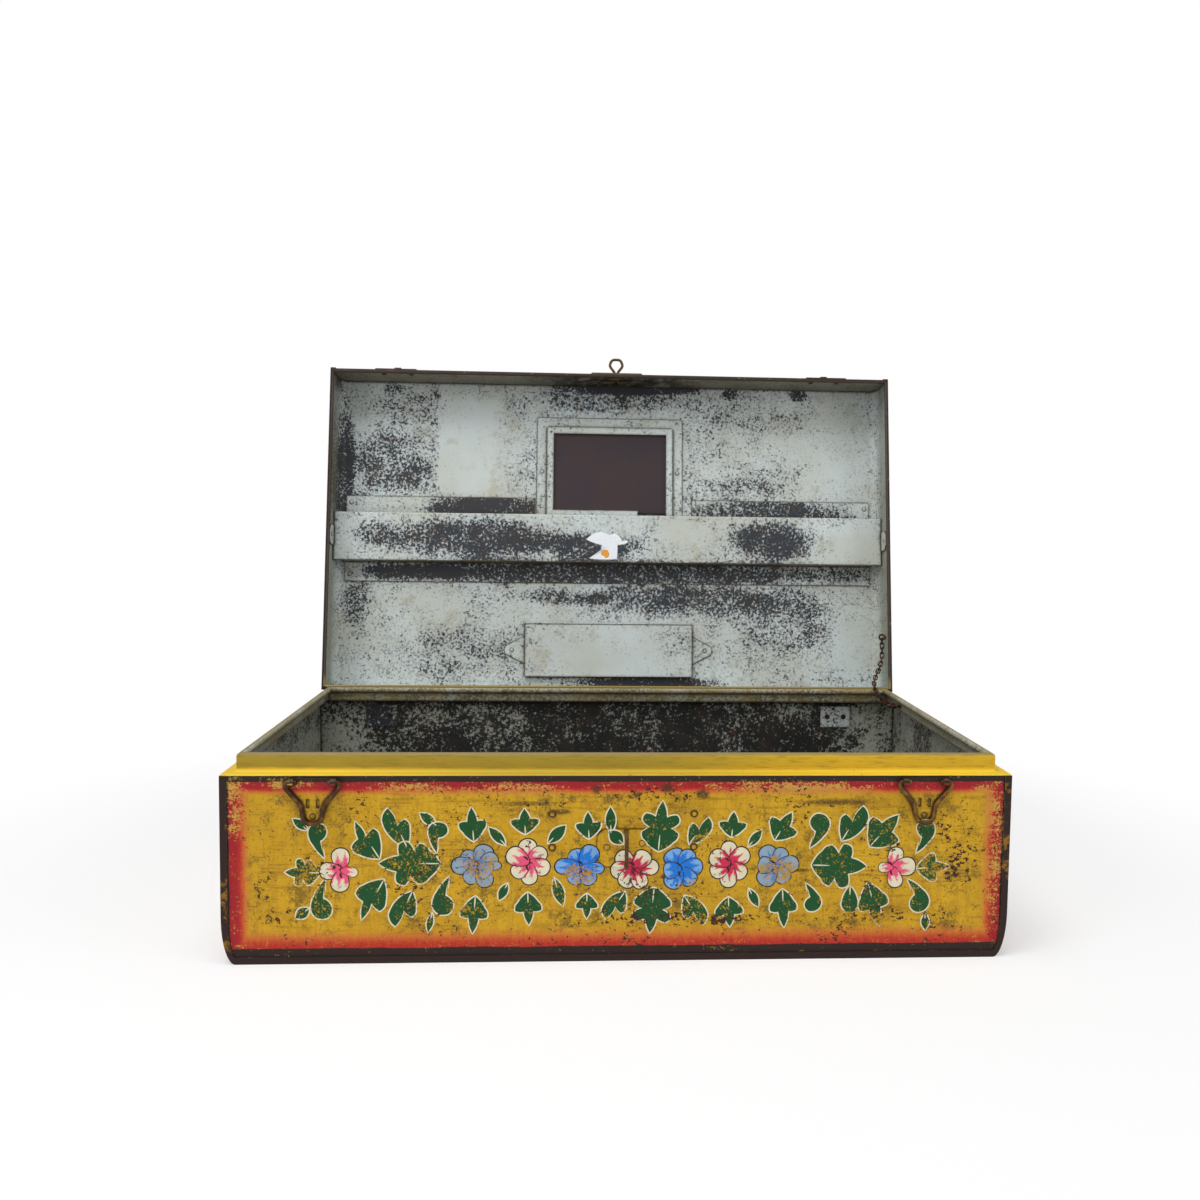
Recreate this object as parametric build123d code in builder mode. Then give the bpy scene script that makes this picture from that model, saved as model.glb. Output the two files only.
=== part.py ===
"""Small painted tin trunk with a hinged lid, stored open.

Millimetres. The origin is at the centre of the underside, +Z up, the painted front
faces -Y. The lid is drawn where it stands open, leaning back on its hinges.
"""
from math import atan2, cos, degrees, radians, sin
import os

from build123d import *

os.makedirs("parts", exist_ok=True)

# ---------------------------------------------------------------- trunk body
TRUNK_WIDTH = 457.0
TRUNK_DEPTH = 258.0
TUB_HEIGHT = 110.0
SHEET = 0.8
TUB_ROUND_X = 8.0
TUB_ROUND_Z = 27.0
SEAM_WIDTH = 4.0
SEAM_PLAY = 0.05

# ---------------------------------------------------------------- collar
SHOULDER_WIDTH = 7.5
SHOULDER_BEND = 1.6
COLLAR_RISE = 10.8
RIM_RADIUS = 2.1
CURL_TURN = 300.0
WIRE_PLAY = 0.1
WIRE_CORNER_GAP = 2.0

# ---------------------------------------------------------------- lid
LID_DEPTH = 37.5
LID_ROUND_X = 8.0
LID_ROUND_Z = 16.0
HEM_RADIUS = 1.6
HEM_MITRE_PLAY = 0.4
LID_PLAY = 0.4
OPEN_ANGLE = 99.4

# ---------------------------------------------------------------- hinges
HINGE_END_INSET = 48.5
HINGE_OFFSET = 5.5
HINGE_RISE = 1.4
LEAF_WIDTH = 24.0
LEAF_HEIGHT = 18.0
LEAF_THICKNESS = 1.0
TUB_LEAF_DROP = 4.0
LID_LEAF_DROP = 4.0
BARREL_RADIUS = 2.4
MIDDLE_KNUCKLE = 11.6
KNUCKLE_GAP = 0.2
PIN_RADIUS = 1.3
ARM_LEAN = 20.0
PIN_PLAY = 0.05
PIN_HEAD_RADIUS = 1.9
PIN_HEAD_THICKNESS = 0.8
LEAF_RIVET_SPREAD = 13.0
LEAF_RIVET_DROP = 9.0
BACKING_HEIGHT = 17.0

# ---------------------------------------------------------------- rivets
RIVET_HEAD_RADIUS = 2.0
RIVET_HEAD_HEIGHT = 0.8
RIVET_SHANK_RADIUS = 1.2
RIVET_TAIL_RADIUS = 1.8
RIVET_TAIL_HEIGHT = 0.5
DOME_HEAD_RADIUS = 2.3
DOME_HEAD_HEIGHT = 1.5
HOLE_PLAY = 0.05

# ---------------------------------------------------------------- lock plate and staple
LOCK_X = 0.5
LOCK_PLATE_WIDTH = 31.0
LOCK_PLATE_TOP = 78.0
LOCK_PLATE_BOTTOM = 56.0
LOCK_PLATE_THICKNESS = 0.9
LOCK_SHOULDER_RADIUS = 6.0
LOCK_CORNER_CUT = 4.5
EAR_X = -6.3
EAR_WIDTH = 4.4
EAR_RISE = 5.4
EAR_HOLE_RADIUS = 1.0
LOCK_RIVETS = [(-9.4, 67.4), (10.9, 69.7)]
STAPLE_X = 1.6
STAPLE_TOP = 76.4
STAPLE_BOTTOM = 57.4
STAPLE_REACH = 11.5
STAPLE_WIRE_RADIUS = 1.1
STAPLE_BEND = 4.5
STAPLE_TAIL_RADIUS = 1.9
STAPLE_TAIL_HEIGHT = 0.8
DOME_SPREAD_X = 82.0
DOME_SPREAD_Z = 19.6
DOME_MIDDLE_Z = 77.2

# ---------------------------------------------------------------- side bails
BAIL_END_INSET = 52.0
BAIL_PIVOT_DROP = 4.0
BAIL_STAND_OFF = 2.6
BAIL_WIRE_RADIUS = 1.15
BAIL_DROP = 23.9
BAIL_STUB_INNER = 8.8
BAIL_SHOULDER = 15.9
BAIL_SHOULDER_TURN = (14.6, 4.0)
BAIL_KNEE = (6.2, 13.4)
BAIL_TIP_HALF = 5.0
BAIL_SHOULDER_RADIUS = 1.5
BAIL_KNEE_RADIUS = 6.0
BAIL_TIP_RADIUS = 4.2
BAIL_PLATE_THICKNESS = 0.8
BAIL_PLATE_HALF_WIDTH = 13.4
BAIL_PLATE_TOP_DROP = 2.0
BAIL_PLATE_SHOULDER_DROP = 8.5
BAIL_PLATE_CORNER = 1.0
BAIL_FOOT_DROP = 24.0
BAIL_FOOT_RADIUS = 5.0
BAIL_FOOT_CORNER = 4.5
LUG_INNER = 10.2
LUG_OUTER = 13.4
LUG_PLAY = 0.1
SLOT_SPREAD = 5.6
SLOT_DROP = 16.5
SLOT_WIDTH = 1.8
SLOT_LENGTH = 5.5
BAIL_RIVET_HEIGHT = 0.5

# ---------------------------------------------------------------- catches on the lid's front
CATCH_WIDTH = 33.0
CATCH_NEAR = 1.8
CATCH_HEIGHT = 18.5
CATCH_THICKNESS = 0.9
HOOK_HALF_WIDTH = 2.5
HOOK_ROOT = 10.5
HOOK_REACH = 4.6
HOOK_CLEARANCE = 0.45
CATCH_RIVET_SPREAD = 22.0
CATCH_RIVET_DEPTH = 12.5

# ---------------------------------------------------------------- split-pin eye and its plate
EYE_X = 2.7
EYE_DEPTH = 19.0
EYE_WIRE_RADIUS = 1.1
EYE_NECK_HALF = 1.2
EYE_NECK_HEIGHT = 6.0
EYE_WIDEST_HALF = 5.6
EYE_WIDEST_HEIGHT = 11.8
EYE_HEIGHT = 18.2
EYE_CROWN_HALF = 3.6
EYE_BEND = 3.4
EYE_LEG_REACH = 9.5
EYE_LEG_BEND = 1.4
EYE_HOLE_HALF = 2.6
EYE_PLATE_WIDTH = 41.5
EYE_PLATE_HEIGHT = 27.0
EYE_PLATE_NEAR = 1.8
EYE_PLATE_THICKNESS = 1.2

# ---------------------------------------------------------------- fittings inside the lid
FITTING_SHEET = 0.8
MIRROR_X = -1.5
MIRROR_BOTTOM = 150.0
MIRROR_VIEW_WIDTH = 94.5
MIRROR_VIEW_HEIGHT = 65.0
MIRROR_LAP = 1.8
MIRROR_RIDGE_WIDTH = 5.5
MIRROR_RIDGE_HEIGHT = 4.2
MIRROR_FLANGE_WIDTH = 8.5
PANE_THICKNESS = 1.8
PANE_PLAY = 0.2
MIRROR_TORN_FROM = 22.0
MIRROR_RIVET_S = 183.0

POCKET_BOTTOM = 105.5
POCKET_TOP = 145.0
POCKET_STAND = 12.7
POCKET_FLANGE_BOTTOM = 89.0
POCKET_END_GAP = 9.0
POCKET_WALL_GAP = 1.0
POCKET_LIP_RADIUS = 1.4
POCKET_TAB_BOTTOM = 117.0
POCKET_TAB_TOP = 133.0
POCKET_TAB_NEAR = 9.0
POCKET_TAB_CUT = 4.0
POCKET_RIVET_INSET = 13.0
POCKET_FLANGE_RIVET_S = 95.0
STRIP_BOTTOM = 139.0
STRIP_TOP = 160.0
STRIP_RIGHT_START = 68.0
STRIP_RIVET_S = 154.5
STRIP_MIRROR_GAP = 1.5
STRIP_END_INSET = 5.0

CARD_X = -1.4
CARD_WIDTH = 138.4
CARD_BOTTOM = 11.0
CARD_TOP = 55.0
CARD_STAND = 4.4
CARD_LIP_RADIUS = 0.9
CARD_TAB_REACH = 17.0
CARD_TAB_HALF = 12.0
CARD_TAB_TIP_RADIUS = 3.0
CARD_TAB_RIVET_INSET = 6.0

# ---------------------------------------------------------------- stay chain
CHAIN_EYE_RADIUS = 2.2
CHAIN_EYE_WIRE = 0.8
CHAIN_STEM_RADIUS = 0.7
CHAIN_EYE_STAND = 3.2
LID_EYE_S = 44.5
LID_EYE_DEPTH = 17.0
TUB_EYE_SETBACK = 39.5
TUB_EYE_RISE = 3.6
# Where the slack chain lies, from the right rear corner of the collar at the crest of its rim.
CHAIN_REST = [(0.3, 24.1, 19.4), (-8.2, 8.6, 8.0), (-11.7, -1.7, 2.9), (-11.0, -13.5, -3.6), (-7.0, -27.5, -7.4)]
LINK_WIRE_RADIUS = 0.55
LINK_WIDTH = 4.0
LINK_PITCH = 4.9
LINK_PLAY = 0.3

# ---------------------------------------------------------------- worked-out places
COLLAR_WIDTH = TRUNK_WIDTH - 2 * SHOULDER_WIDTH
COLLAR_DEPTH = TRUNK_DEPTH - 2 * SHOULDER_WIDTH
RIM_CENTRE_Z = TUB_HEIGHT + COLLAR_RISE - RIM_RADIUS
WALL_TOP = TUB_HEIGHT - SHEET
LID_INNER_DEPTH = LID_DEPTH - SHEET
LID_INNER_HALF = TRUNK_WIDTH / 2 - SHEET
HINGE_Y = TRUNK_DEPTH / 2 + HINGE_OFFSET
HINGE_Z = TUB_HEIGHT + HINGE_RISE
TUB_EYE_Y = COLLAR_DEPTH / 2 - TUB_EYE_SETBACK
TUB_EYE_Z = TUB_HEIGHT + TUB_EYE_RISE
HINGE_X = TRUNK_WIDTH / 2 - HINGE_END_INSET
BAIL_X = TRUNK_WIDTH / 2 - BAIL_END_INSET
HINGE_XS = (-HINGE_X, HINGE_X)
BAIL_XS = (-BAIL_X, BAIL_X)
BAIL_PIVOT_Y = -TRUNK_DEPTH / 2 - BAIL_STAND_OFF
BAIL_PIVOT_Z = TUB_HEIGHT - BAIL_PIVOT_DROP
BAIL_PLATE_TOP = TUB_HEIGHT - BAIL_PLATE_TOP_DROP
BAIL_PLATE_SHOULDER = TUB_HEIGHT - BAIL_PLATE_SHOULDER_DROP
BAIL_FOOT_Z = TUB_HEIGHT - BAIL_FOOT_DROP
SLOT_Z = TUB_HEIGHT - SLOT_DROP

# The lid's own plane lies on its mouth: x across, y from the hinge side to the front side,
# z out of the mouth. It is turned open about the hinge line.
HINGE_LINE = Axis((0, 0, 0), (1, 0, 0))
LID_TURN = -OPEN_ANGLE
lid_corner = Vector(0, HINGE_Y, HINGE_Z) + Vector(0, -HINGE_OFFSET, LID_PLAY - HINGE_RISE).rotate(
    HINGE_LINE, LID_TURN
)
lid_out = Vector(0, 0, -1).rotate(HINGE_LINE, LID_TURN)
LID = Plane(origin=lid_corner, x_dir=(1, 0, 0), z_dir=lid_out)
LID_PANEL = LID.offset(-LID_INNER_DEPTH)
LID_FRONT = Plane(origin=LID.from_local_coords((0, TRUNK_DEPTH, 0)), x_dir=(1, 0, 0), z_dir=LID.y_dir)
LID_REAR = Plane(origin=lid_corner, x_dir=(1, 0, 0), z_dir=-LID.y_dir)

FRONT = Plane.XZ.offset(TRUNK_DEPTH / 2)
REAR = Plane(origin=(0, TRUNK_DEPTH / 2, 0), x_dir=(-1, 0, 0), z_dir=(0, 1, 0))


def tub_side(x):
    """Plane square to the trunk's width at x: sketch axes are Y and Z."""
    return Plane.YZ.offset(x)


def lid_side(x):
    """Plane square to the trunk's width at x: sketch axes run up the lid and out of its mouth."""
    return Plane(origin=LID.from_local_coords((x, 0, 0)), x_dir=LID.y_dir, z_dir=(1, 0, 0))


def lid_cross(s):
    """Plane across the lid at s above the hinge side: x across, y from its top sheet to the mouth."""
    return Plane(origin=LID.from_local_coords((0, s, -LID_DEPTH)), x_dir=(1, 0, 0), z_dir=-LID.y_dir)


def save(part, name):
    """Label a finished piece and write it under its node name."""
    part.label = name
    export_step(part, f"parts/{name}.step")


def tray_face(plane, height, round_x, round_z, inset=0.0):
    """Face of a folded tray: upright sides, elliptical lower corners, flat bottom and top."""
    half = TRUNK_WIDTH / 2 - inset
    corner_x = TRUNK_WIDTH / 2 - round_x
    reach_x = round_x - inset
    reach_z = round_z - inset
    with BuildSketch(plane) as face:
        with BuildLine():
            Line((-half, height), (-half, round_z))
            EllipticalCenterArc((-corner_x, round_z), reach_x, reach_z, start_angle=180, arc_size=90)
            Line((-corner_x, inset), (corner_x, inset))
            EllipticalCenterArc((corner_x, round_z), reach_x, reach_z, start_angle=270, arc_size=90)
            Line((half, round_z), (half, height))
            Line((half, height), (-half, height))
        make_face()
    return face.sketch


def tray_edge(plane, height, round_x, round_z, thickness, amount):
    """Band of a given thickness along a tray's outline, without its open top, drawn out by an amount."""
    extrude(tray_face(plane, height, round_x, round_z), amount=amount)
    extrude(tray_face(plane, height, round_x, round_z, inset=thickness), amount=amount, mode=Mode.SUBTRACT)


def curl_lines(radius):
    """Lines of a sheet edge rolled over a wire: outer face on x = 0, curl towards +x, middle at y = 0."""
    middle = (radius, 0)
    inner = radius - SHEET
    turn_end = radians(180 - CURL_TURN)
    CenterArc(middle, radius, 180, -CURL_TURN)
    Line(
        (radius + radius * cos(turn_end), radius * sin(turn_end)),
        (radius + inner * cos(turn_end), inner * sin(turn_end)),
    )
    CenterArc(middle, inner, 180 - CURL_TURN, CURL_TURN)


def ring_path(width, depth):
    """Rectangle path round the trunk, starting in the middle of its lower side."""
    half_x = width / 2
    half_y = depth / 2
    return Polyline(
        (0, -half_y), (half_x, -half_y), (half_x, half_y), (-half_x, half_y), (-half_x, -half_y), (0, -half_y)
    )


def edge_wires(frame, width, depth, radius, inset):
    """Four straight wires lying in a rolled edge, each stopping short of the corners."""
    reach_x = width / 2 - inset
    reach_y = depth / 2 - inset
    for side in (-1, 1):
        along_x = frame.from_local_coords((-reach_x + WIRE_CORNER_GAP, side * reach_y, 0))
        along_y = frame.from_local_coords((side * reach_x, -reach_y + WIRE_CORNER_GAP, 0))
        with BuildSketch(Plane(origin=along_x, z_dir=frame.x_dir)) as section_x:
            Circle(radius)
        extrude(section_x.sketch, amount=2 * (reach_x - WIRE_CORNER_GAP))
        with BuildSketch(Plane(origin=along_y, z_dir=frame.y_dir)) as section_y:
            Circle(radius)
        extrude(section_y.sketch, amount=2 * (reach_y - WIRE_CORNER_GAP))


def pierce(face, points, radius, depth):
    """Round holes from a face into the sheet behind it."""
    with BuildSketch(face) as holes:
        with Locations(*points):
            Circle(radius)
    extrude(holes.sketch, amount=-depth, mode=Mode.SUBTRACT)


def rivet_holes(face, points, depth):
    """Holes that take the common rivet."""
    pierce(face, points, RIVET_SHANK_RADIUS + HOLE_PLAY, depth)


def rivets(face, points, grip, head_radius=RIVET_HEAD_RADIUS, head_height=RIVET_HEAD_HEIGHT):
    """Domed rivets: head on the face, shank through the grip, flat upset tail behind it."""
    ball = (head_radius**2 + head_height**2) / (2 * head_height)
    start = degrees(atan2(ball - head_height, head_radius))
    for point in points:
        spot = face.from_local_coords((point[0], point[1], 0))
        with BuildSketch(Plane(origin=spot, x_dir=face.x_dir, z_dir=-face.y_dir)) as half_section:
            with BuildLine():
                CenterArc((0, head_height - ball), ball, start, 90 - start)
                Polyline(
                    (0, head_height),
                    (0, -grip - RIVET_TAIL_HEIGHT),
                    (RIVET_TAIL_RADIUS, -grip - RIVET_TAIL_HEIGHT),
                    (RIVET_TAIL_RADIUS, -grip),
                    (RIVET_SHANK_RADIUS, -grip),
                    (RIVET_SHANK_RADIUS, 0),
                    (head_radius, 0),
                )
            make_face()
        revolve(half_section.sketch, axis=Axis(spot, face.z_dir))


def block(face, x_range, y_range, thickness, mode=Mode.ADD):
    """Flat rectangular sheet between two x and two y values of a face, rising from it."""
    with BuildSketch(face) as outline:
        with Locations(((x_range[0] + x_range[1]) / 2, (y_range[0] + y_range[1]) / 2)):
            Rectangle(x_range[1] - x_range[0], y_range[1] - y_range[0])
    extrude(outline.sketch, amount=thickness, mode=mode)


# ================================================================ rivet places
leaf_rivet_xs = [x + side * LEAF_RIVET_SPREAD / 2 for x in HINGE_XS for side in (-1, 1)]
tub_leaf_rivets = [(x, TUB_HEIGHT - TUB_LEAF_DROP - LEAF_RIVET_DROP) for x in leaf_rivet_xs]
lid_leaf_rivets = [(x, -LID_LEAF_DROP - LEAF_RIVET_DROP) for x in leaf_rivet_xs]
bail_foot_rivets = [(x, BAIL_FOOT_Z) for x in BAIL_XS]
dome_rivets = [
    (side * DOME_SPREAD_X / 2, DOME_MIDDLE_Z + level * DOME_SPREAD_Z / 2) for side in (-1, 1) for level in (-1, 1)
]
staple_feet = [(STAPLE_X, STAPLE_TOP), (STAPLE_X, STAPLE_BOTTOM)]
catch_rivet_points = [(x + side * CATCH_RIVET_SPREAD / 2, CATCH_RIVET_DEPTH) for x in BAIL_XS for side in (-1, 1)]
mirror_ridge_half = MIRROR_VIEW_WIDTH / 2 + MIRROR_RIDGE_WIDTH
mirror_flange_half = mirror_ridge_half + MIRROR_FLANGE_WIDTH
mirror_rivet_points = [
    (MIRROR_X + side * (mirror_ridge_half + MIRROR_FLANGE_WIDTH / 2), MIRROR_RIVET_S) for side in (-1, 1)
]
pocket_flange_half = TRUNK_WIDTH / 2 - POCKET_END_GAP
pocket_rivet_x = TRUNK_WIDTH / 2 - POCKET_RIVET_INSET
strip_left_end = MIRROR_X - mirror_flange_half - STRIP_MIRROR_GAP
long_pocket_rivet_points = [
    (-pocket_rivet_x, POCKET_FLANGE_RIVET_S),
    (pocket_rivet_x, POCKET_FLANGE_RIVET_S),
    (-pocket_rivet_x, STRIP_RIVET_S),
    (strip_left_end - STRIP_END_INSET, STRIP_RIVET_S),
    (STRIP_RIGHT_START + STRIP_END_INSET, STRIP_RIVET_S),
    (pocket_rivet_x, STRIP_RIVET_S),
]
card_middle_s = (CARD_BOTTOM + CARD_TOP) / 2
card_rivet_points = [
    (CARD_X + side * (CARD_WIDTH / 2 + CARD_TAB_REACH - CARD_TAB_RIVET_INSET), card_middle_s) for side in (-1, 1)
]
tab_middle_s = (POCKET_TAB_BOTTOM + POCKET_TAB_TOP) / 2
tab_rivet_depth = POCKET_TAB_NEAR + POCKET_TAB_CUT + RIVET_HEAD_RADIUS
SIDE_WALL_RIGHT = Plane(origin=LID.from_local_coords((LID_INNER_HALF, 0, 0)), x_dir=LID.y_dir, z_dir=(-1, 0, 0))
SIDE_WALL_LEFT = Plane(origin=LID.from_local_coords((-LID_INNER_HALF, 0, 0)), x_dir=LID.y_dir, z_dir=(1, 0, 0))


def seam_bands(planes, height, round_x, round_z):
    """The tray's edge folded over the end panels: one flat band on each plane."""
    bands = []
    for plane in planes:
        with BuildPart(mode=Mode.PRIVATE) as band:
            tray_edge(plane, height, round_x, round_z, SEAM_WIDTH, SHEET)
        bands.append(band.part)
    return bands


# ================================================================ tub
tub_seam_planes = [FRONT, Plane.XZ.offset(-TRUNK_DEPTH / 2 - SHEET)]
tub_seams = seam_bands(tub_seam_planes, WALL_TOP, TUB_ROUND_X, TUB_ROUND_Z)
with BuildPart() as tub_wrapper:
    wrap_depth = TRUNK_DEPTH + 2 * SHEET
    tray_edge(Plane.XZ.offset(wrap_depth / 2), WALL_TOP, TUB_ROUND_X, TUB_ROUND_Z, SHEET, -wrap_depth)
    add(tub_seams)
save(tub_wrapper.part, "tub_wrapper")

with BuildPart() as tub_front_panel:
    extrude(tray_face(FRONT, WALL_TOP, TUB_ROUND_X, TUB_ROUND_Z, SHEET + SEAM_PLAY), amount=-SHEET)
    rivet_holes(FRONT, bail_foot_rivets + LOCK_RIVETS + dome_rivets, SHEET)
    pierce(FRONT, staple_feet, STAPLE_WIRE_RADIUS + HOLE_PLAY, SHEET)
save(tub_front_panel.part, "tub_front_panel")

with BuildPart() as tub_rear_panel:
    extrude(tray_face(REAR, WALL_TOP, TUB_ROUND_X, TUB_ROUND_Z, SHEET + SEAM_PLAY), amount=-SHEET)
    rivet_holes(REAR, tub_leaf_rivets, SHEET)
save(tub_rear_panel.part, "tub_rear_panel")

# The sheet runs in from the trunk's edge as a shoulder, bends up and is rolled inward over a wire.
with BuildPart() as collar:
    shoulder_y = TUB_HEIGHT - RIM_CENTRE_Z
    bend_middle = (-SHOULDER_BEND, shoulder_y + SHOULDER_BEND)
    with BuildLine(Plane.XY.offset(RIM_CENTRE_Z)) as rim_path:
        ring_path(COLLAR_WIDTH, COLLAR_DEPTH)
    with BuildSketch(Plane(origin=(0, -COLLAR_DEPTH / 2, RIM_CENTRE_Z), x_dir=(0, 1, 0), z_dir=(1, 0, 0))):
        with BuildLine():
            CenterArc((-SHOULDER_WIDTH + SHEET, shoulder_y - SHEET), SHEET, 180, -90)
            Line((-SHOULDER_WIDTH + SHEET, shoulder_y), (-SHOULDER_BEND, shoulder_y))
            CenterArc(bend_middle, SHOULDER_BEND, -90, 90)
            Line((0, shoulder_y + SHOULDER_BEND), (0, 0))
            curl_lines(RIM_RADIUS)
            Line((SHEET, 0), (SHEET, shoulder_y + SHOULDER_BEND))
            CenterArc(bend_middle, SHOULDER_BEND + SHEET, 0, -90)
            Line((-SHOULDER_BEND, shoulder_y - SHEET), (-SHOULDER_WIDTH, shoulder_y - SHEET))
        make_face()
    sweep(path=rim_path.wires()[0], transition=Transition.RIGHT)
    tub_eye_point = (TUB_EYE_Y, TUB_EYE_Z)
    pierce(tub_side(COLLAR_WIDTH / 2), [tub_eye_point], CHAIN_STEM_RADIUS + HOLE_PLAY, SHEET)
save(collar.part, "collar")

with BuildPart() as collar_wires:
    edge_wires(
        Plane.XY.offset(RIM_CENTRE_Z), COLLAR_WIDTH, COLLAR_DEPTH, RIM_RADIUS - SHEET - WIRE_PLAY, RIM_RADIUS
    )
save(collar_wires.part, "collar_wires")

# ---------------------------------------------------------------- lock plate, staple and rivets
with BuildPart() as lock_plate:
    half_plate = LOCK_PLATE_WIDTH / 2
    with BuildSketch(FRONT):
        with BuildLine():
            FilletPolyline(
                (LOCK_X - half_plate, LOCK_PLATE_TOP),
                (LOCK_X - half_plate, LOCK_PLATE_BOTTOM + LOCK_CORNER_CUT),
                (LOCK_X - half_plate + LOCK_CORNER_CUT, LOCK_PLATE_BOTTOM),
                (LOCK_X + half_plate - LOCK_CORNER_CUT, LOCK_PLATE_BOTTOM),
                (LOCK_X + half_plate, LOCK_PLATE_BOTTOM + LOCK_CORNER_CUT),
                (LOCK_X + half_plate, LOCK_PLATE_TOP),
                radius=[LOCK_SHOULDER_RADIUS, 0, 0, 0, 0, LOCK_SHOULDER_RADIUS],
                close=True,
            )
        make_face()
        with Locations((EAR_X, LOCK_PLATE_TOP)):
            SlotOverall(2 * EAR_RISE, EAR_WIDTH, rotation=90)
        with Locations((EAR_X, LOCK_PLATE_TOP + EAR_RISE - EAR_WIDTH / 2)):
            Circle(EAR_HOLE_RADIUS, mode=Mode.SUBTRACT)
    extrude(amount=LOCK_PLATE_THICKNESS)
    plate_face = FRONT.offset(LOCK_PLATE_THICKNESS)
    rivet_holes(plate_face, LOCK_RIVETS, LOCK_PLATE_THICKNESS)
    pierce(plate_face, staple_feet, STAPLE_WIRE_RADIUS + HOLE_PLAY, LOCK_PLATE_THICKNESS)
save(lock_plate.part, "lock_plate")

with BuildPart() as lock_staple:
    front_y = -TRUNK_DEPTH / 2
    inner_y = front_y + SHEET
    with BuildLine(tub_side(STAPLE_X)) as staple_path:
        FilletPolyline(
            (inner_y, STAPLE_TOP),
            (front_y - STAPLE_REACH, STAPLE_TOP),
            (front_y - STAPLE_REACH, STAPLE_BOTTOM),
            (inner_y, STAPLE_BOTTOM),
            radius=STAPLE_BEND,
        )
    with BuildSketch(Plane(origin=(STAPLE_X, inner_y, STAPLE_TOP), z_dir=(0, -1, 0))):
        Circle(STAPLE_WIRE_RADIUS)
    sweep(path=staple_path.wires()[0])
    with BuildSketch(FRONT.offset(-SHEET)):
        with Locations(*staple_feet):
            Circle(STAPLE_TAIL_RADIUS)
    extrude(amount=-STAPLE_TAIL_HEIGHT)
save(lock_staple.part, "lock_staple")

with BuildPart() as lock_plate_rivets:
    rivets(FRONT.offset(LOCK_PLATE_THICKNESS), LOCK_RIVETS, LOCK_PLATE_THICKNESS + SHEET)
save(lock_plate_rivets.part, "lock_plate_rivets")

with BuildPart() as front_dome_rivets:
    rivets(FRONT, dome_rivets, SHEET, DOME_HEAD_RADIUS, DOME_HEAD_HEIGHT)
save(front_dome_rivets.part, "front_dome_rivets")

# ---------------------------------------------------------------- side catches: plates, bails
for hand, bail_x in zip(("left", "right"), BAIL_XS):
    with BuildPart() as bail_plate:
        lug_bore = BAIL_WIRE_RADIUS + LUG_PLAY
        lug_radius = lug_bore + BAIL_PLATE_THICKNESS
        plate_corners = [BAIL_PLATE_CORNER, BAIL_PLATE_CORNER, BAIL_PLATE_CORNER, BAIL_FOOT_CORNER]
        with BuildSketch(FRONT):
            with BuildLine():
                FilletPolyline(
                    (bail_x - BAIL_PLATE_HALF_WIDTH, BAIL_PLATE_TOP),
                    (bail_x - BAIL_PLATE_HALF_WIDTH, BAIL_PLATE_SHOULDER),
                    (bail_x - BAIL_FOOT_RADIUS, BAIL_FOOT_Z),
                    (bail_x - BAIL_FOOT_RADIUS, BAIL_FOOT_Z - BAIL_FOOT_RADIUS),
                    (bail_x + BAIL_FOOT_RADIUS, BAIL_FOOT_Z - BAIL_FOOT_RADIUS),
                    (bail_x + BAIL_FOOT_RADIUS, BAIL_FOOT_Z),
                    (bail_x + BAIL_PLATE_HALF_WIDTH, BAIL_PLATE_SHOULDER),
                    (bail_x + BAIL_PLATE_HALF_WIDTH, BAIL_PLATE_TOP),
                    radius=plate_corners + plate_corners[::-1],
                    close=True,
                )
            make_face()
            with Locations((bail_x - SLOT_SPREAD / 2, SLOT_Z), (bail_x + SLOT_SPREAD / 2, SLOT_Z)):
                SlotOverall(SLOT_LENGTH, SLOT_WIDTH, rotation=90, mode=Mode.SUBTRACT)
        extrude(amount=BAIL_PLATE_THICKNESS)
        rivet_holes(FRONT.offset(BAIL_PLATE_THICKNESS), [(bail_x, BAIL_FOOT_Z)], BAIL_PLATE_THICKNESS)
        pivot = (BAIL_PIVOT_Y, BAIL_PIVOT_Z)
        for start in (bail_x - LUG_OUTER, bail_x + LUG_INNER):
            with BuildSketch(tub_side(start)):
                with Locations(pivot):
                    Circle(lug_radius)
            extrude(amount=LUG_OUTER - LUG_INNER)
            with BuildSketch(tub_side(start)):
                with Locations(pivot):
                    Circle(lug_bore)
            extrude(amount=LUG_OUTER - LUG_INNER, mode=Mode.SUBTRACT)
    save(bail_plate.part, f"bail_plate_{hand}")

    with BuildPart() as bail:
        bail_plane = Plane(origin=(bail_x, BAIL_PIVOT_Y, BAIL_PIVOT_Z), x_dir=(1, 0, 0), z_dir=(0, -1, 0))
        right_side = [
            (BAIL_TIP_HALF, -BAIL_DROP),
            (BAIL_KNEE[0], -BAIL_KNEE[1]),
            (BAIL_SHOULDER_TURN[0], -BAIL_SHOULDER_TURN[1]),
            (BAIL_SHOULDER, 0),
            (BAIL_STUB_INNER, 0),
        ]
        left_side = [(-x, z) for x, z in reversed(right_side)]
        corner_radii = [BAIL_TIP_RADIUS, BAIL_KNEE_RADIUS, BAIL_KNEE_RADIUS, BAIL_SHOULDER_RADIUS]
        with BuildLine(bail_plane) as bail_path:
            FilletPolyline(*left_side, *right_side, radius=corner_radii[::-1] + corner_radii)
        with BuildSketch(
            Plane(origin=(bail_x - BAIL_STUB_INNER, BAIL_PIVOT_Y, BAIL_PIVOT_Z), z_dir=(-1, 0, 0))
        ):
            Circle(BAIL_WIRE_RADIUS)
        sweep(path=bail_path.wires()[0])
    save(bail.part, f"bail_{hand}")

with BuildPart() as bail_plate_rivets:
    rivets(
        FRONT.offset(BAIL_PLATE_THICKNESS),
        bail_foot_rivets,
        BAIL_PLATE_THICKNESS + SHEET,
        head_height=BAIL_RIVET_HEIGHT,
    )
save(bail_plate_rivets.part, "bail_plate_rivets")

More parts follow.
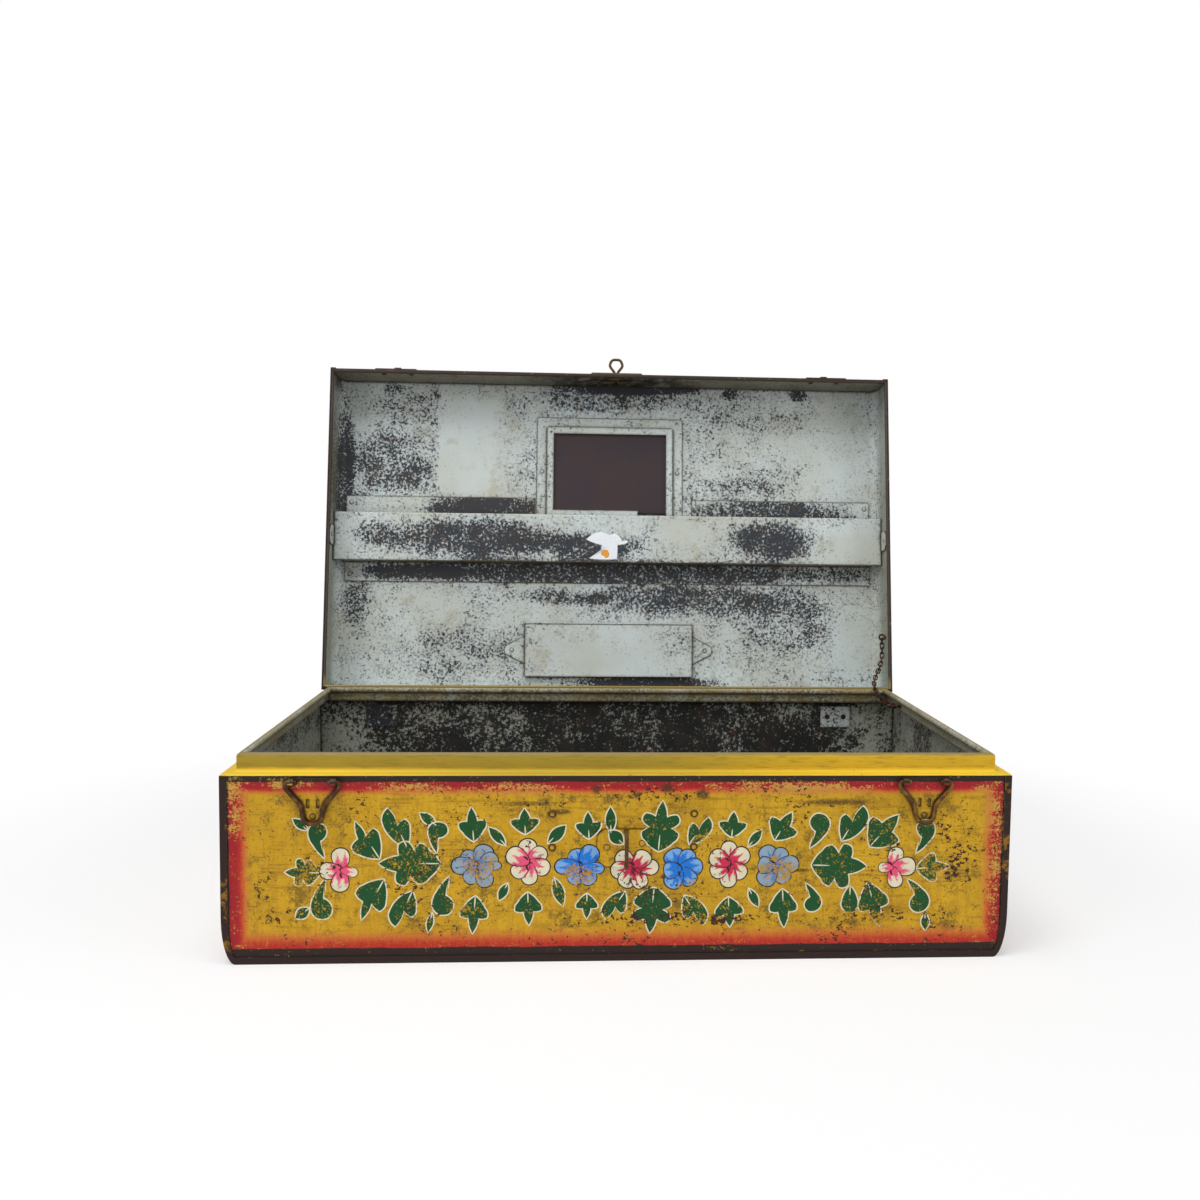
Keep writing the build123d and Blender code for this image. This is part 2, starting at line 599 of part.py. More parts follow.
# ================================================================ lid
# One ring of rolled hem is laid round the mouth and parted at the mitres between the three sheets.
hem_plane = LID.offset(-HEM_RADIUS)
hem_origin = hem_plane.from_local_coords((0, TRUNK_DEPTH / 2, 0))
HEM = Plane(origin=hem_origin, x_dir=(1, 0, 0), z_dir=LID.z_dir)
with BuildPart() as hem_ring:
    with BuildLine(HEM) as hem_path:
        ring_path(TRUNK_WIDTH, TRUNK_DEPTH)
    with BuildSketch(
        Plane(origin=HEM.from_local_coords((0, -TRUNK_DEPTH / 2, 0)), x_dir=HEM.y_dir, z_dir=HEM.x_dir)
    ):
        with BuildLine():
            curl_lines(HEM_RADIUS)
            Line((SHEET, 0), (0, 0))
        make_face()
    sweep(path=hem_path.wires()[0], transition=Transition.RIGHT)


def hem_side(corners):
    """The stretch of rolled hem inside four corners of the mouth's plane."""
    with BuildPart(mode=Mode.PRIVATE) as stretch:
        add(hem_ring.part)
        with BuildSketch(HEM) as wedge:
            with BuildLine():
                Polyline(*corners, close=True)
            make_face()
        extrude(wedge.sketch, amount=2 * HEM_RADIUS, both=True, mode=Mode.INTERSECT)
    return stretch.part


MITRE = 4 * HEM_RADIUS
half_w = TRUNK_WIDTH / 2
half_d = TRUNK_DEPTH / 2
strip_w = half_w - HEM_MITRE_PLAY
hem_front = hem_side(
    [(-strip_w, half_d), (strip_w, half_d), (strip_w - MITRE, half_d - MITRE), (-strip_w + MITRE, half_d - MITRE)]
)
hem_rear = hem_side(
    [(-strip_w, -half_d), (strip_w, -half_d), (strip_w - MITRE, -half_d + MITRE), (-strip_w + MITRE, -half_d + MITRE)]
)
hem_left = hem_side(
    [(-half_w, -half_d), (-half_w, half_d), (-half_w + MITRE, half_d - MITRE), (-half_w + MITRE, -half_d + MITRE)]
)
hem_right = hem_side(
    [(half_w, -half_d), (half_w, half_d), (half_w - MITRE, half_d - MITRE), (half_w - MITRE, -half_d + MITRE)]
)

LID_WALL = LID_DEPTH - HEM_RADIUS
chain_eye_hole = CHAIN_STEM_RADIUS + HOLE_PLAY
lid_seam_planes = [lid_cross(TRUNK_DEPTH + SHEET), lid_cross(0)]
lid_seams = seam_bands(lid_seam_planes, LID_WALL, LID_ROUND_X, LID_ROUND_Z)
with BuildPart() as lid_wrapper:
    lid_length = TRUNK_DEPTH + 2 * SHEET
    tray_edge(lid_cross(TRUNK_DEPTH + SHEET), LID_WALL, LID_ROUND_X, LID_ROUND_Z, SHEET, lid_length)
    add(lid_seams)
    add([hem_left, hem_right])
    rivet_holes(LID_PANEL, mirror_rivet_points + long_pocket_rivet_points + card_rivet_points, SHEET)
    rivet_holes(SIDE_WALL_RIGHT, [(tab_middle_s, tab_rivet_depth)], SHEET)
    rivet_holes(SIDE_WALL_LEFT, [(tab_middle_s, -tab_rivet_depth)], SHEET)
    pierce(SIDE_WALL_RIGHT, [(LID_EYE_S, LID_EYE_DEPTH)], chain_eye_hole, SHEET)
save(lid_wrapper.part, "lid_wrapper")

with BuildPart() as lid_front_strip:
    front_sheet = tray_face(lid_cross(TRUNK_DEPTH), LID_WALL, LID_ROUND_X, LID_ROUND_Z, SHEET + SEAM_PLAY)
    extrude(front_sheet, amount=SHEET)
    add(hem_front)
    rivet_holes(LID_FRONT, catch_rivet_points, SHEET)
    with BuildSketch(LID_FRONT):
        with Locations((EYE_X, EYE_DEPTH)):
            SlotOverall(2 * EYE_HOLE_HALF, 2 * (EYE_WIRE_RADIUS + HOLE_PLAY))
    extrude(amount=-SHEET, mode=Mode.SUBTRACT)
save(lid_front_strip.part, "lid_front_strip")

with BuildPart() as lid_rear_strip:
    rear_sheet = tray_face(lid_cross(SHEET), LID_WALL, LID_ROUND_X, LID_ROUND_Z, SHEET + SEAM_PLAY)
    extrude(rear_sheet, amount=SHEET)
    add(hem_rear)
    rivet_holes(LID_REAR, lid_leaf_rivets, SHEET)
save(lid_rear_strip.part, "lid_rear_strip")

with BuildPart() as lid_hem_wires:
    edge_wires(HEM, TRUNK_WIDTH, TRUNK_DEPTH, HEM_RADIUS - SHEET - WIRE_PLAY, HEM_RADIUS)
save(lid_hem_wires.part, "lid_hem_wires")


# ---------------------------------------------------------------- hinges
def hinge_leaf(side, x, wall, outward, near, pin, knuckles):
    """Leaf on a wall with arms that end in barrels round the pin, drawn square to the pin."""
    with BuildSketch(side(x - LEAF_WIDTH / 2)) as plate:
        with BuildLine():
            Polyline(
                (wall, near),
                (wall + outward * LEAF_THICKNESS, near),
                (wall + outward * LEAF_THICKNESS, near - LEAF_HEIGHT),
                (wall, near - LEAF_HEIGHT),
                close=True,
            )
        make_face()
    extrude(plate.sketch, amount=LEAF_WIDTH)
    steep = (BARREL_RADIUS * sin(radians(ARM_LEAN)), BARREL_RADIUS * cos(radians(ARM_LEAN)))
    for start, end in knuckles:
        with BuildSketch(side(x + start)) as arm:
            with BuildLine():
                Polyline(
                    (wall, near),
                    (pin[0] - outward * steep[1], pin[1] - steep[0]),
                    (pin[0] - outward * steep[0], pin[1] - steep[1]),
                    (wall + outward * LEAF_THICKNESS, near - LEAF_THICKNESS),
                    (wall, near - LEAF_THICKNESS),
                    close=True,
                )
            make_face()
            with Locations(pin):
                Circle(BARREL_RADIUS)
                Circle(PIN_RADIUS + PIN_PLAY, mode=Mode.SUBTRACT)
        extrude(arm.sketch, amount=end - start)


outer_knuckles = [
    (-LEAF_WIDTH / 2, -MIDDLE_KNUCKLE / 2 - KNUCKLE_GAP),
    (MIDDLE_KNUCKLE / 2 + KNUCKLE_GAP, LEAF_WIDTH / 2),
]
middle_knuckle = [(-MIDDLE_KNUCKLE / 2, MIDDLE_KNUCKLE / 2)]
for hand, hinge_x in zip(("left", "right"), HINGE_XS):
    leaf_xs = (hinge_x - LEAF_RIVET_SPREAD / 2, hinge_x + LEAF_RIVET_SPREAD / 2)
    with BuildPart() as tub_leaf:
        hinge_leaf(
            tub_side, hinge_x, TRUNK_DEPTH / 2, 1, TUB_HEIGHT - TUB_LEAF_DROP, (HINGE_Y, HINGE_Z), outer_knuckles
        )
        rivet_holes(
            REAR.offset(LEAF_THICKNESS),
            [(-x, TUB_HEIGHT - TUB_LEAF_DROP - LEAF_RIVET_DROP) for x in leaf_xs],
            LEAF_THICKNESS,
        )
    save(tub_leaf.part, f"hinge_tub_leaf_{hand}")
    with BuildPart() as lid_leaf:
        hinge_leaf(
            lid_side, hinge_x, 0, -1, -LID_LEAF_DROP, (-HINGE_OFFSET, LID_PLAY - HINGE_RISE), middle_knuckle
        )
        rivet_holes(
            LID_REAR.offset(LEAF_THICKNESS),
            [(x, -LID_LEAF_DROP - LEAF_RIVET_DROP) for x in leaf_xs],
            LEAF_THICKNESS,
        )
    save(lid_leaf.part, f"hinge_lid_leaf_{hand}")

with BuildPart() as hinge_pins:
    for hinge_x in HINGE_XS:
        shank_half = LEAF_WIDTH / 2 + PIN_PLAY
        with BuildSketch(tub_side(hinge_x - shank_half)):
            with Locations((HINGE_Y, HINGE_Z)):
                Circle(PIN_RADIUS)
        extrude(amount=2 * shank_half)
        for head_start in (hinge_x - shank_half - PIN_HEAD_THICKNESS, hinge_x + shank_half):
            with BuildSketch(tub_side(head_start)):
                with Locations((HINGE_Y, HINGE_Z)):
                    Circle(PIN_HEAD_RADIUS)
            extrude(amount=PIN_HEAD_THICKNESS)
save(hinge_pins.part, "hinge_pins")

with BuildPart() as hinge_backing_plates:
    backing_face = REAR.offset(-SHEET)
    backing_middle = TUB_HEIGHT - TUB_LEAF_DROP - LEAF_RIVET_DROP
    for hinge_x in HINGE_XS:
        block(
            backing_face,
            (-hinge_x - LEAF_WIDTH / 2, -hinge_x + LEAF_WIDTH / 2),
            (backing_middle - BACKING_HEIGHT / 2, backing_middle + BACKING_HEIGHT / 2),
            -FITTING_SHEET,
        )
    rivet_holes(backing_face, tub_leaf_rivets, FITTING_SHEET)
save(hinge_backing_plates.part, "hinge_backing_plates")

with BuildPart() as tub_hinge_rivets:
    rivets(REAR.offset(LEAF_THICKNESS), tub_leaf_rivets, LEAF_THICKNESS + SHEET + FITTING_SHEET)
save(tub_hinge_rivets.part, "tub_hinge_rivets")

with BuildPart() as lid_hinge_rivets:
    rivets(LID_REAR.offset(LEAF_THICKNESS), lid_leaf_rivets, LEAF_THICKNESS + SHEET)
save(lid_hinge_rivets.part, "lid_hinge_rivets")

# ---------------------------------------------------------------- split-pin eye on the lid's front
with BuildPart() as lid_eye_plate:
    block(
        LID_FRONT,
        (EYE_X - EYE_PLATE_WIDTH / 2, EYE_X + EYE_PLATE_WIDTH / 2),
        (EYE_PLATE_NEAR, EYE_PLATE_NEAR + EYE_PLATE_HEIGHT),
        EYE_PLATE_THICKNESS,
    )
    fillet(lid_eye_plate.edges().filter_by(Axis(lid_corner, LID.y_dir)), EYE_PLATE_THICKNESS)
    with BuildSketch(LID_FRONT):
        with Locations((EYE_X, EYE_DEPTH)):
            SlotOverall(2 * EYE_HOLE_HALF, 2 * (EYE_WIRE_RADIUS + HOLE_PLAY))
    extrude(amount=EYE_PLATE_THICKNESS, mode=Mode.SUBTRACT)
save(lid_eye_plate.part, "lid_eye_plate")

with BuildPart() as split_pin_eye:
    leg_level = -SHEET - EYE_WIRE_RADIUS - HOLE_PLAY
    right_wire = [
        (EYE_CROWN_HALF, EYE_HEIGHT - EYE_WIRE_RADIUS),
        (EYE_WIDEST_HALF, EYE_WIDEST_HEIGHT),
        (EYE_NECK_HALF, EYE_NECK_HEIGHT),
        (EYE_NECK_HALF, leg_level),
        (EYE_LEG_REACH, leg_level),
    ]
    left_wire = [(-x, height) for x, height in reversed(right_wire)]
    wire_radii = [EYE_BEND, EYE_BEND, EYE_BEND, EYE_LEG_BEND]
    eye_origin = LID_FRONT.from_local_coords((EYE_X, EYE_DEPTH, 0))
    with BuildLine(Plane(origin=eye_origin, x_dir=(1, 0, 0), z_dir=LID.z_dir)) as eye_path:
        FilletPolyline(*left_wire, *right_wire, radius=wire_radii[::-1] + wire_radii)
    with BuildSketch(
        Plane(origin=LID_FRONT.from_local_coords((EYE_X - EYE_LEG_REACH, EYE_DEPTH, leg_level)), z_dir=(1, 0, 0))
    ):
        Circle(EYE_WIRE_RADIUS)
    sweep(path=eye_path.wires()[0])
save(split_pin_eye.part, "split_pin_eye")

# ---------------------------------------------------------------- hook plates that the bails snap over
hook_top = BAIL_PIVOT_Z + BAIL_DROP - BAIL_WIRE_RADIUS - HOOK_CLEARANCE - TUB_HEIGHT - LID_PLAY
for hand, catch_x in zip(("left", "right"), BAIL_XS):
    with BuildPart() as catch:
        block(
            LID_FRONT,
            (catch_x - CATCH_WIDTH / 2, catch_x + CATCH_WIDTH / 2),
            (CATCH_NEAR, CATCH_NEAR + CATCH_HEIGHT),
            CATCH_THICKNESS,
        )
        with BuildSketch(lid_side(catch_x - HOOK_HALF_WIDTH)):
            with BuildLine():
                FilletPolyline(
                    (TRUNK_DEPTH, -HOOK_ROOT),
                    (TRUNK_DEPTH + HOOK_REACH, -HOOK_ROOT),
                    (TRUNK_DEPTH + HOOK_REACH, -hook_top),
                    (TRUNK_DEPTH + HOOK_REACH - CATCH_THICKNESS, -hook_top),
                    (TRUNK_DEPTH + HOOK_REACH - CATCH_THICKNESS, -HOOK_ROOT - CATCH_THICKNESS),
                    (TRUNK_DEPTH, -HOOK_ROOT - CATCH_THICKNESS),
                    radius=[0, 2 * CATCH_THICKNESS, 0, 0, CATCH_THICKNESS, 0],
                    close=True,
                )
            make_face()
        extrude(amount=2 * HOOK_HALF_WIDTH)
        catch_points = [(catch_x + side * CATCH_RIVET_SPREAD / 2, CATCH_RIVET_DEPTH) for side in (-1, 1)]
        rivet_holes(LID_FRONT.offset(CATCH_THICKNESS), catch_points, CATCH_THICKNESS)
    save(catch.part, f"catch_{hand}")

with BuildPart() as catch_rivets:
    rivets(
        LID_FRONT.offset(CATCH_THICKNESS),
        catch_rivet_points,
        CATCH_THICKNESS + SHEET,
        head_height=BAIL_RIVET_HEIGHT,
    )
save(catch_rivets.part, "catch_rivets")


# ---------------------------------------------------------------- mirror frame and pane
def mirror_ring(level, grow_outer, grow_inner, thickness):
    """Rectangular ring round the mirror's view, rising from a level above the lid's top sheet."""
    with BuildSketch(LID_PANEL.offset(level)) as ring:
        with Locations((MIRROR_X, MIRROR_BOTTOM + MIRROR_VIEW_HEIGHT / 2)):
            Rectangle(MIRROR_VIEW_WIDTH + 2 * grow_outer, MIRROR_VIEW_HEIGHT + 2 * grow_outer)
            Rectangle(MIRROR_VIEW_WIDTH + 2 * grow_inner, MIRROR_VIEW_HEIGHT + 2 * grow_inner, mode=Mode.SUBTRACT)
    extrude(ring.sketch, amount=thickness)


with BuildPart() as mirror_frame:
    ridge_level = MIRROR_RIDGE_HEIGHT - FITTING_SHEET
    lip_level = PANE_THICKNESS + PANE_PLAY
    flange_grow = MIRROR_RIDGE_WIDTH + MIRROR_FLANGE_WIDTH
    mirror_ring(0, flange_grow, MIRROR_RIDGE_WIDTH - FITTING_SHEET, FITTING_SHEET)
    mirror_ring(0, MIRROR_RIDGE_WIDTH, MIRROR_RIDGE_WIDTH - FITTING_SHEET, ridge_level)
    mirror_ring(ridge_level, MIRROR_RIDGE_WIDTH, 0, FITTING_SHEET)
    mirror_ring(lip_level, FITTING_SHEET, 0, ridge_level - lip_level)
    torn_end = MIRROR_X + MIRROR_VIEW_WIDTH / 2
    block(
        LID_PANEL.offset(FITTING_SHEET),
        (MIRROR_TORN_FROM, torn_end),
        (MIRROR_BOTTOM - MIRROR_RIDGE_WIDTH, MIRROR_BOTTOM),
        MIRROR_RIDGE_HEIGHT,
        mode=Mode.SUBTRACT,
    )
    rivet_holes(LID_PANEL.offset(FITTING_SHEET), mirror_rivet_points, FITTING_SHEET)
save(mirror_frame.part, "mirror_frame")

with BuildPart() as mirror_pane:
    pane_left = MIRROR_X - MIRROR_VIEW_WIDTH / 2 - MIRROR_LAP
    pane_right = MIRROR_X + MIRROR_VIEW_WIDTH / 2 + MIRROR_LAP
    block(
        LID_PANEL,
        (pane_left, pane_right),
        (MIRROR_BOTTOM - MIRROR_LAP, MIRROR_BOTTOM + MIRROR_VIEW_HEIGHT + MIRROR_LAP),
        PANE_THICKNESS,
    )
save(mirror_pane.part, "mirror_pane")

with BuildPart() as mirror_frame_rivets:
    rivets(LID_PANEL.offset(FITTING_SHEET), mirror_rivet_points, FITTING_SHEET + SHEET)
save(mirror_frame_rivets.part, "mirror_frame_rivets")

# ---------------------------------------------------------------- long letter pocket
pocket_face_half = LID_INNER_HALF - POCKET_WALL_GAP
pocket_face_level = POCKET_STAND - FITTING_SHEET
with BuildPart() as long_pocket:
    block(
        LID_PANEL,
        (-pocket_flange_half, pocket_flange_half),
        (POCKET_FLANGE_BOTTOM, POCKET_BOTTOM + FITTING_SHEET),
        FITTING_SHEET,
    )
    block(
        LID_PANEL,
        (-pocket_flange_half, pocket_flange_half),
        (POCKET_BOTTOM, POCKET_BOTTOM + FITTING_SHEET),
        POCKET_STAND,
    )
    block(
        LID_PANEL.offset(pocket_face_level),
        (-pocket_face_half, pocket_face_half),
        (POCKET_BOTTOM, POCKET_TOP - POCKET_LIP_RADIUS),
        FITTING_SHEET,
    )
    lip_middle = LID_INNER_DEPTH - POCKET_STAND + POCKET_LIP_RADIUS
    for lip_s in (POCKET_BOTTOM + POCKET_LIP_RADIUS, POCKET_TOP - POCKET_LIP_RADIUS):
        with BuildSketch(lid_side(-pocket_face_half)):
            with Locations((lip_s, -lip_middle)):
                Circle(POCKET_LIP_RADIUS)
        extrude(amount=2 * pocket_face_half)
    tab_deep = LID_INNER_DEPTH - POCKET_STAND + FITTING_SHEET
    for tab_start in (-pocket_face_half - FITTING_SHEET, pocket_face_half):
        with BuildSketch(lid_side(tab_start)):
            with BuildLine():
                Polyline(
                    (POCKET_TAB_BOTTOM, -tab_deep),
                    (POCKET_TAB_BOTTOM, -POCKET_TAB_NEAR - POCKET_TAB_CUT),
                    (POCKET_TAB_BOTTOM + POCKET_TAB_CUT, -POCKET_TAB_NEAR),
                    (POCKET_TAB_TOP - POCKET_TAB_CUT, -POCKET_TAB_NEAR),
                    (POCKET_TAB_TOP, -POCKET_TAB_NEAR - POCKET_TAB_CUT),
                    (POCKET_TAB_TOP, -tab_deep),
                    close=True,
                )
            make_face()
        extrude(amount=FITTING_SHEET)
    rivet_holes(LID_PANEL.offset(FITTING_SHEET), long_pocket_rivet_points[:2], FITTING_SHEET)
    rivet_holes(SIDE_WALL_RIGHT.offset(POCKET_WALL_GAP), [(tab_middle_s, tab_rivet_depth)], FITTING_SHEET)
    rivet_holes(SIDE_WALL_LEFT.offset(POCKET_WALL_GAP), [(tab_middle_s, -tab_rivet_depth)], FITTING_SHEET)
save(long_pocket.part, "long_pocket")

with BuildPart() as pocket_back_strips:
    for strip_range in ((-pocket_flange_half, strip_left_end), (STRIP_RIGHT_START, pocket_flange_half)):
        block(LID_PANEL, strip_range, (STRIP_BOTTOM, STRIP_TOP), FITTING_SHEET)
    rivet_holes(LID_PANEL.offset(FITTING_SHEET), long_pocket_rivet_points[2:], FITTING_SHEET)
save(pocket_back_strips.part, "pocket_back_strips")

with BuildPart() as long_pocket_rivets:
    rivets(LID_PANEL.offset(FITTING_SHEET), long_pocket_rivet_points, FITTING_SHEET + SHEET)
    rivets(
        SIDE_WALL_RIGHT.offset(POCKET_WALL_GAP), [(tab_middle_s, tab_rivet_depth)], POCKET_WALL_GAP + SHEET
    )
    rivets(
        SIDE_WALL_LEFT.offset(POCKET_WALL_GAP), [(tab_middle_s, -tab_rivet_depth)], POCKET_WALL_GAP + SHEET
    )
save(long_pocket_rivets.part, "long_pocket_rivets")

# ---------------------------------------------------------------- card pocket
with BuildPart() as card_pocket:
    card_left = CARD_X - CARD_WIDTH / 2
    card_right = CARD_X + CARD_WIDTH / 2
    card_face_level = CARD_STAND - FITTING_SHEET
    block(LID_PANEL.offset(card_face_level), (card_left, card_right), (CARD_BOTTOM, CARD_TOP), FITTING_SHEET)
    block(LID_PANEL, (card_left, card_right), (CARD_BOTTOM, CARD_BOTTOM + FITTING_SHEET), CARD_STAND)
    block(LID_PANEL, (card_left, card_left + FITTING_SHEET), (CARD_BOTTOM, CARD_TOP), CARD_STAND)
    block(LID_PANEL, (card_right - FITTING_SHEET, card_right), (CARD_BOTTOM, CARD_TOP), CARD_STAND)
    with BuildSketch(lid_side(card_left)):
        with Locations((CARD_TOP, -(LID_INNER_DEPTH - CARD_STAND + FITTING_SHEET / 2))):
            Circle(CARD_LIP_RADIUS)
    extrude(amount=CARD_WIDTH)
    with BuildSketch(LID_PANEL):
        for side in (-1, 1):
            edge_x = CARD_X + side * (CARD_WIDTH / 2 - FITTING_SHEET)
            tip_x = CARD_X + side * (CARD_WIDTH / 2 + CARD_TAB_REACH)
            with BuildLine():
                FilletPolyline(
                    (edge_x, card_middle_s - CARD_TAB_HALF),
                    (tip_x, card_middle_s - CARD_TAB_TIP_RADIUS),
                    (tip_x, card_middle_s + CARD_TAB_TIP_RADIUS),
                    (edge_x, card_middle_s + CARD_TAB_HALF),
                    radius=[0, CARD_TAB_TIP_RADIUS, CARD_TAB_TIP_RADIUS, 0],
                    close=True,
                )
            make_face()
    extrude(amount=FITTING_SHEET)
    rivet_holes(LID_PANEL.offset(FITTING_SHEET), card_rivet_points, FITTING_SHEET)
save(card_pocket.part, "card_pocket")

with BuildPart() as card_pocket_rivets:
    rivets(LID_PANEL.offset(FITTING_SHEET), card_rivet_points, FITTING_SHEET + SHEET)
save(card_pocket_rivets.part, "card_pocket_rivets")

# ================================================================ stay chain and its eyes
lid_eye_middle = LID.from_local_coords((LID_INNER_HALF - CHAIN_EYE_STAND, LID_EYE_S, -LID_EYE_DEPTH))
tub_eye_middle = Vector(COLLAR_WIDTH / 2 - SHEET - CHAIN_EYE_STAND, TUB_EYE_Y, TUB_EYE_Z)
rim_corner = Vector(COLLAR_WIDTH / 2, COLLAR_DEPTH / 2, TUB_HEIGHT + COLLAR_RISE)
chain_points = [lid_eye_middle, *[rim_corner + Vector(*point) for point in CHAIN_REST], tub_eye_middle]
with BuildLine(mode=Mode.PRIVATE) as chain_route:
    Spline(*chain_points)
chain_curve = chain_route.edges()[0]


def chain_eye(middle, towards, wall_x, wall_sheet):
    """Wire ring on a stem through a wall, its ring in line with the chain's pull."""
    across = Vector(1, 0, 0).cross(towards).normalized()
    ring_plane = Plane(origin=middle, x_dir=(1, 0, 0), z_dir=across)
    with BuildSketch(Plane(origin=middle, x_dir=(1, 0, 0), z_dir=ring_plane.y_dir)) as ring_section:
        with Locations((CHAIN_EYE_RADIUS, 0)):
            Circle(CHAIN_EYE_WIRE)
    revolve(ring_section.sketch, axis=Axis(middle, across))
    stem_start = middle + Vector(CHAIN_EYE_RADIUS, 0, 0)
    with BuildSketch(Plane(origin=stem_start, z_dir=(1, 0, 0))) as stem:
        Circle(CHAIN_STEM_RADIUS)
    extrude(stem.sketch, amount=wall_x + wall_sheet - stem_start.X)
    with BuildSketch(Plane(origin=(wall_x + wall_sheet, middle.Y, middle.Z), z_dir=(1, 0, 0))) as tail:
        Circle(RIVET_TAIL_RADIUS)
    extrude(tail.sketch, amount=RIVET_TAIL_HEIGHT)


with BuildPart() as lid_chain_eye:
    chain_eye(lid_eye_middle, chain_curve.tangent_at(0), LID_INNER_HALF, SHEET)
save(lid_chain_eye.part, "lid_chain_eye")

with BuildPart() as tub_chain_eye:
    chain_eye(tub_eye_middle, chain_curve.tangent_at(1), COLLAR_WIDTH / 2 - SHEET, SHEET)
save(tub_chain_eye.part, "tub_chain_eye")

link_bend = LINK_WIDTH / 2 - LINK_WIRE_RADIUS
link_straight = (LINK_PITCH + 2 * LINK_WIRE_RADIUS) / 2 - link_bend
# The end link's own wire crosses the eye's opening with the same play as between two links.
end_reach = CHAIN_EYE_RADIUS - CHAIN_EYE_WIRE + LINK_PITCH / 2 - LINK_PLAY
free_length = chain_curve.length - 2 * end_reach
link_steps = 2 * (int(free_length / (LINK_PITCH - LINK_PLAY)) // 2) + 2
link_step = free_length / link_steps
with BuildPart() as stay_chain:
    for number in range(link_steps + 1):
        along = (end_reach + number * link_step) / chain_curve.length
        heading = chain_curve.tangent_at(along)
        flat = Vector(1, 0, 0).cross(heading).normalized()
        upright = heading.cross(flat)
        link_normal = upright if number % 2 == 0 else flat
        link_plane = Plane(origin=chain_curve.position_at(along), x_dir=heading, z_dir=link_normal)
        with BuildLine(link_plane) as link_path:
            Line((0, link_bend), (link_straight, link_bend))
            CenterArc((link_straight, 0), link_bend, 90, -180)
            Line((link_straight, -link_bend), (-link_straight, -link_bend))
            CenterArc((-link_straight, 0), link_bend, -90, -180)
            Line((-link_straight, link_bend), (0, link_bend))
        link_start = link_plane.from_local_coords((0, link_bend, 0))
        with BuildSketch(Plane(origin=link_start, z_dir=heading)):
            Circle(LINK_WIRE_RADIUS)
        sweep(path=link_path.wires()[0])
save(stay_chain.part, "stay_chain")
print(f"stay chain: {link_steps + 1} links, {link_step:.2f} mm apart, route {chain_curve.length:.1f} mm")
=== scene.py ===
"""Looks of a small painted tin trunk that stands open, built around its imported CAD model."""
import logging
import math
from dataclasses import dataclass, field
from enum import Enum
from functools import cached_property
from typing import Any, Callable, Sequence

import bpy
import numpy as np
from mathutils import Matrix, Vector


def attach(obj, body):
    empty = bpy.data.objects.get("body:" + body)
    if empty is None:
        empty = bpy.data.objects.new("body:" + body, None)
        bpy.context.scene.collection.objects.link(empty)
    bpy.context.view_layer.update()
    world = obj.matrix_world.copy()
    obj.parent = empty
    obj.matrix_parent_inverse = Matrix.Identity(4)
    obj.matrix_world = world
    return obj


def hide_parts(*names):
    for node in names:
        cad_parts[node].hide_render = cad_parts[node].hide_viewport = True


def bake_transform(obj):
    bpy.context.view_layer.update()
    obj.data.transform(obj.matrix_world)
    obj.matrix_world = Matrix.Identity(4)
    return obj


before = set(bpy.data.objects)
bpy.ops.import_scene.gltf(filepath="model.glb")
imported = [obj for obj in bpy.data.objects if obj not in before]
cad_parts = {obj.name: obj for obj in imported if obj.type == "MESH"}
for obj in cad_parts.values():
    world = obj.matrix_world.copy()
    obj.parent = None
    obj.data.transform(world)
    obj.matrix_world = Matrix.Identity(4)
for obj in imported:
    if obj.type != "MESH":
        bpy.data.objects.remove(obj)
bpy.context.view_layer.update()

MM = 0.001
Array = np.ndarray
Point = tuple[float, float, float]
Colour = tuple[float, float, float, float]
Spot = tuple[float, float, float, float, float]
Shade = Callable[[Array, Array, Array], Array]
log = logging.getLogger("tin_trunk")

# ---------------------------------------------------------------- sizes of the trunk, in millimetres
HALF_WIDTH = 228.5
HALF_DEPTH = 129.0
TUB_HEIGHT = 110.0
LID_CORNER = (0.0, 134.41, 116.99)
LID_UP = (0.0, 0.16333, 0.98657)
LID_INWARD = (0.0, 0.98657, -0.16333)
LID_LENGTH = 258.0
LID_DEPTH = 37.5
COLLAR_MIDDLE = (0.0, 0.0, 70.0)
LID_MIDDLE = (0.0, 166.0, 242.0)
RIGHT, LEFT = (1.0, 0.0, 0.0), (-1.0, 0.0, 0.0)
BACKWARDS, FORWARDS = (0.0, 1.0, 0.0), (0.0, -1.0, 0.0)
UP, DOWN = (0.0, 0.0, 1.0), (0.0, 0.0, -1.0)

# ---------------------------------------------------------------- films of paint, in millimetres and points
FILM_BACK = -0.02  # the back of a film lies this far inside the face
LEAF_LEVEL = 0.020
LEAF_STEP = 0.002  # between the levels that leaves take in turn, so that leaves that cross don't flicker
LEAF_LEVELS = 11
LEAF_RIM = 0.8
VEIN_LEVEL = 0.045
PETAL_LEVEL = 0.04
PETAL_STEP = 0.006
DAB_LEVEL = 0.095
PAPER_LEVEL = 0.10
BLOT_LEVEL = 0.14
DABS = 5
DRAPED_RINGS = 22
FLAT_RINGS = 6
THINNING = 4  # a dense film that crosses no edge keeps every fourth ring
STROKE_TURNS = 48
SIDE_POINTS = 9


def paint(red: float, green: float, blue: float) -> Colour:
    """Returns the linear colour of an 8-bit display colour."""
    parts = np.array([red, green, blue], float) / 255.0
    linear = np.where(parts <= 0.04045, parts / 12.92, ((parts + 0.055) / 1.055) ** 2.4)
    return (float(linear[0]), float(linear[1]), float(linear[2]), 1.0)


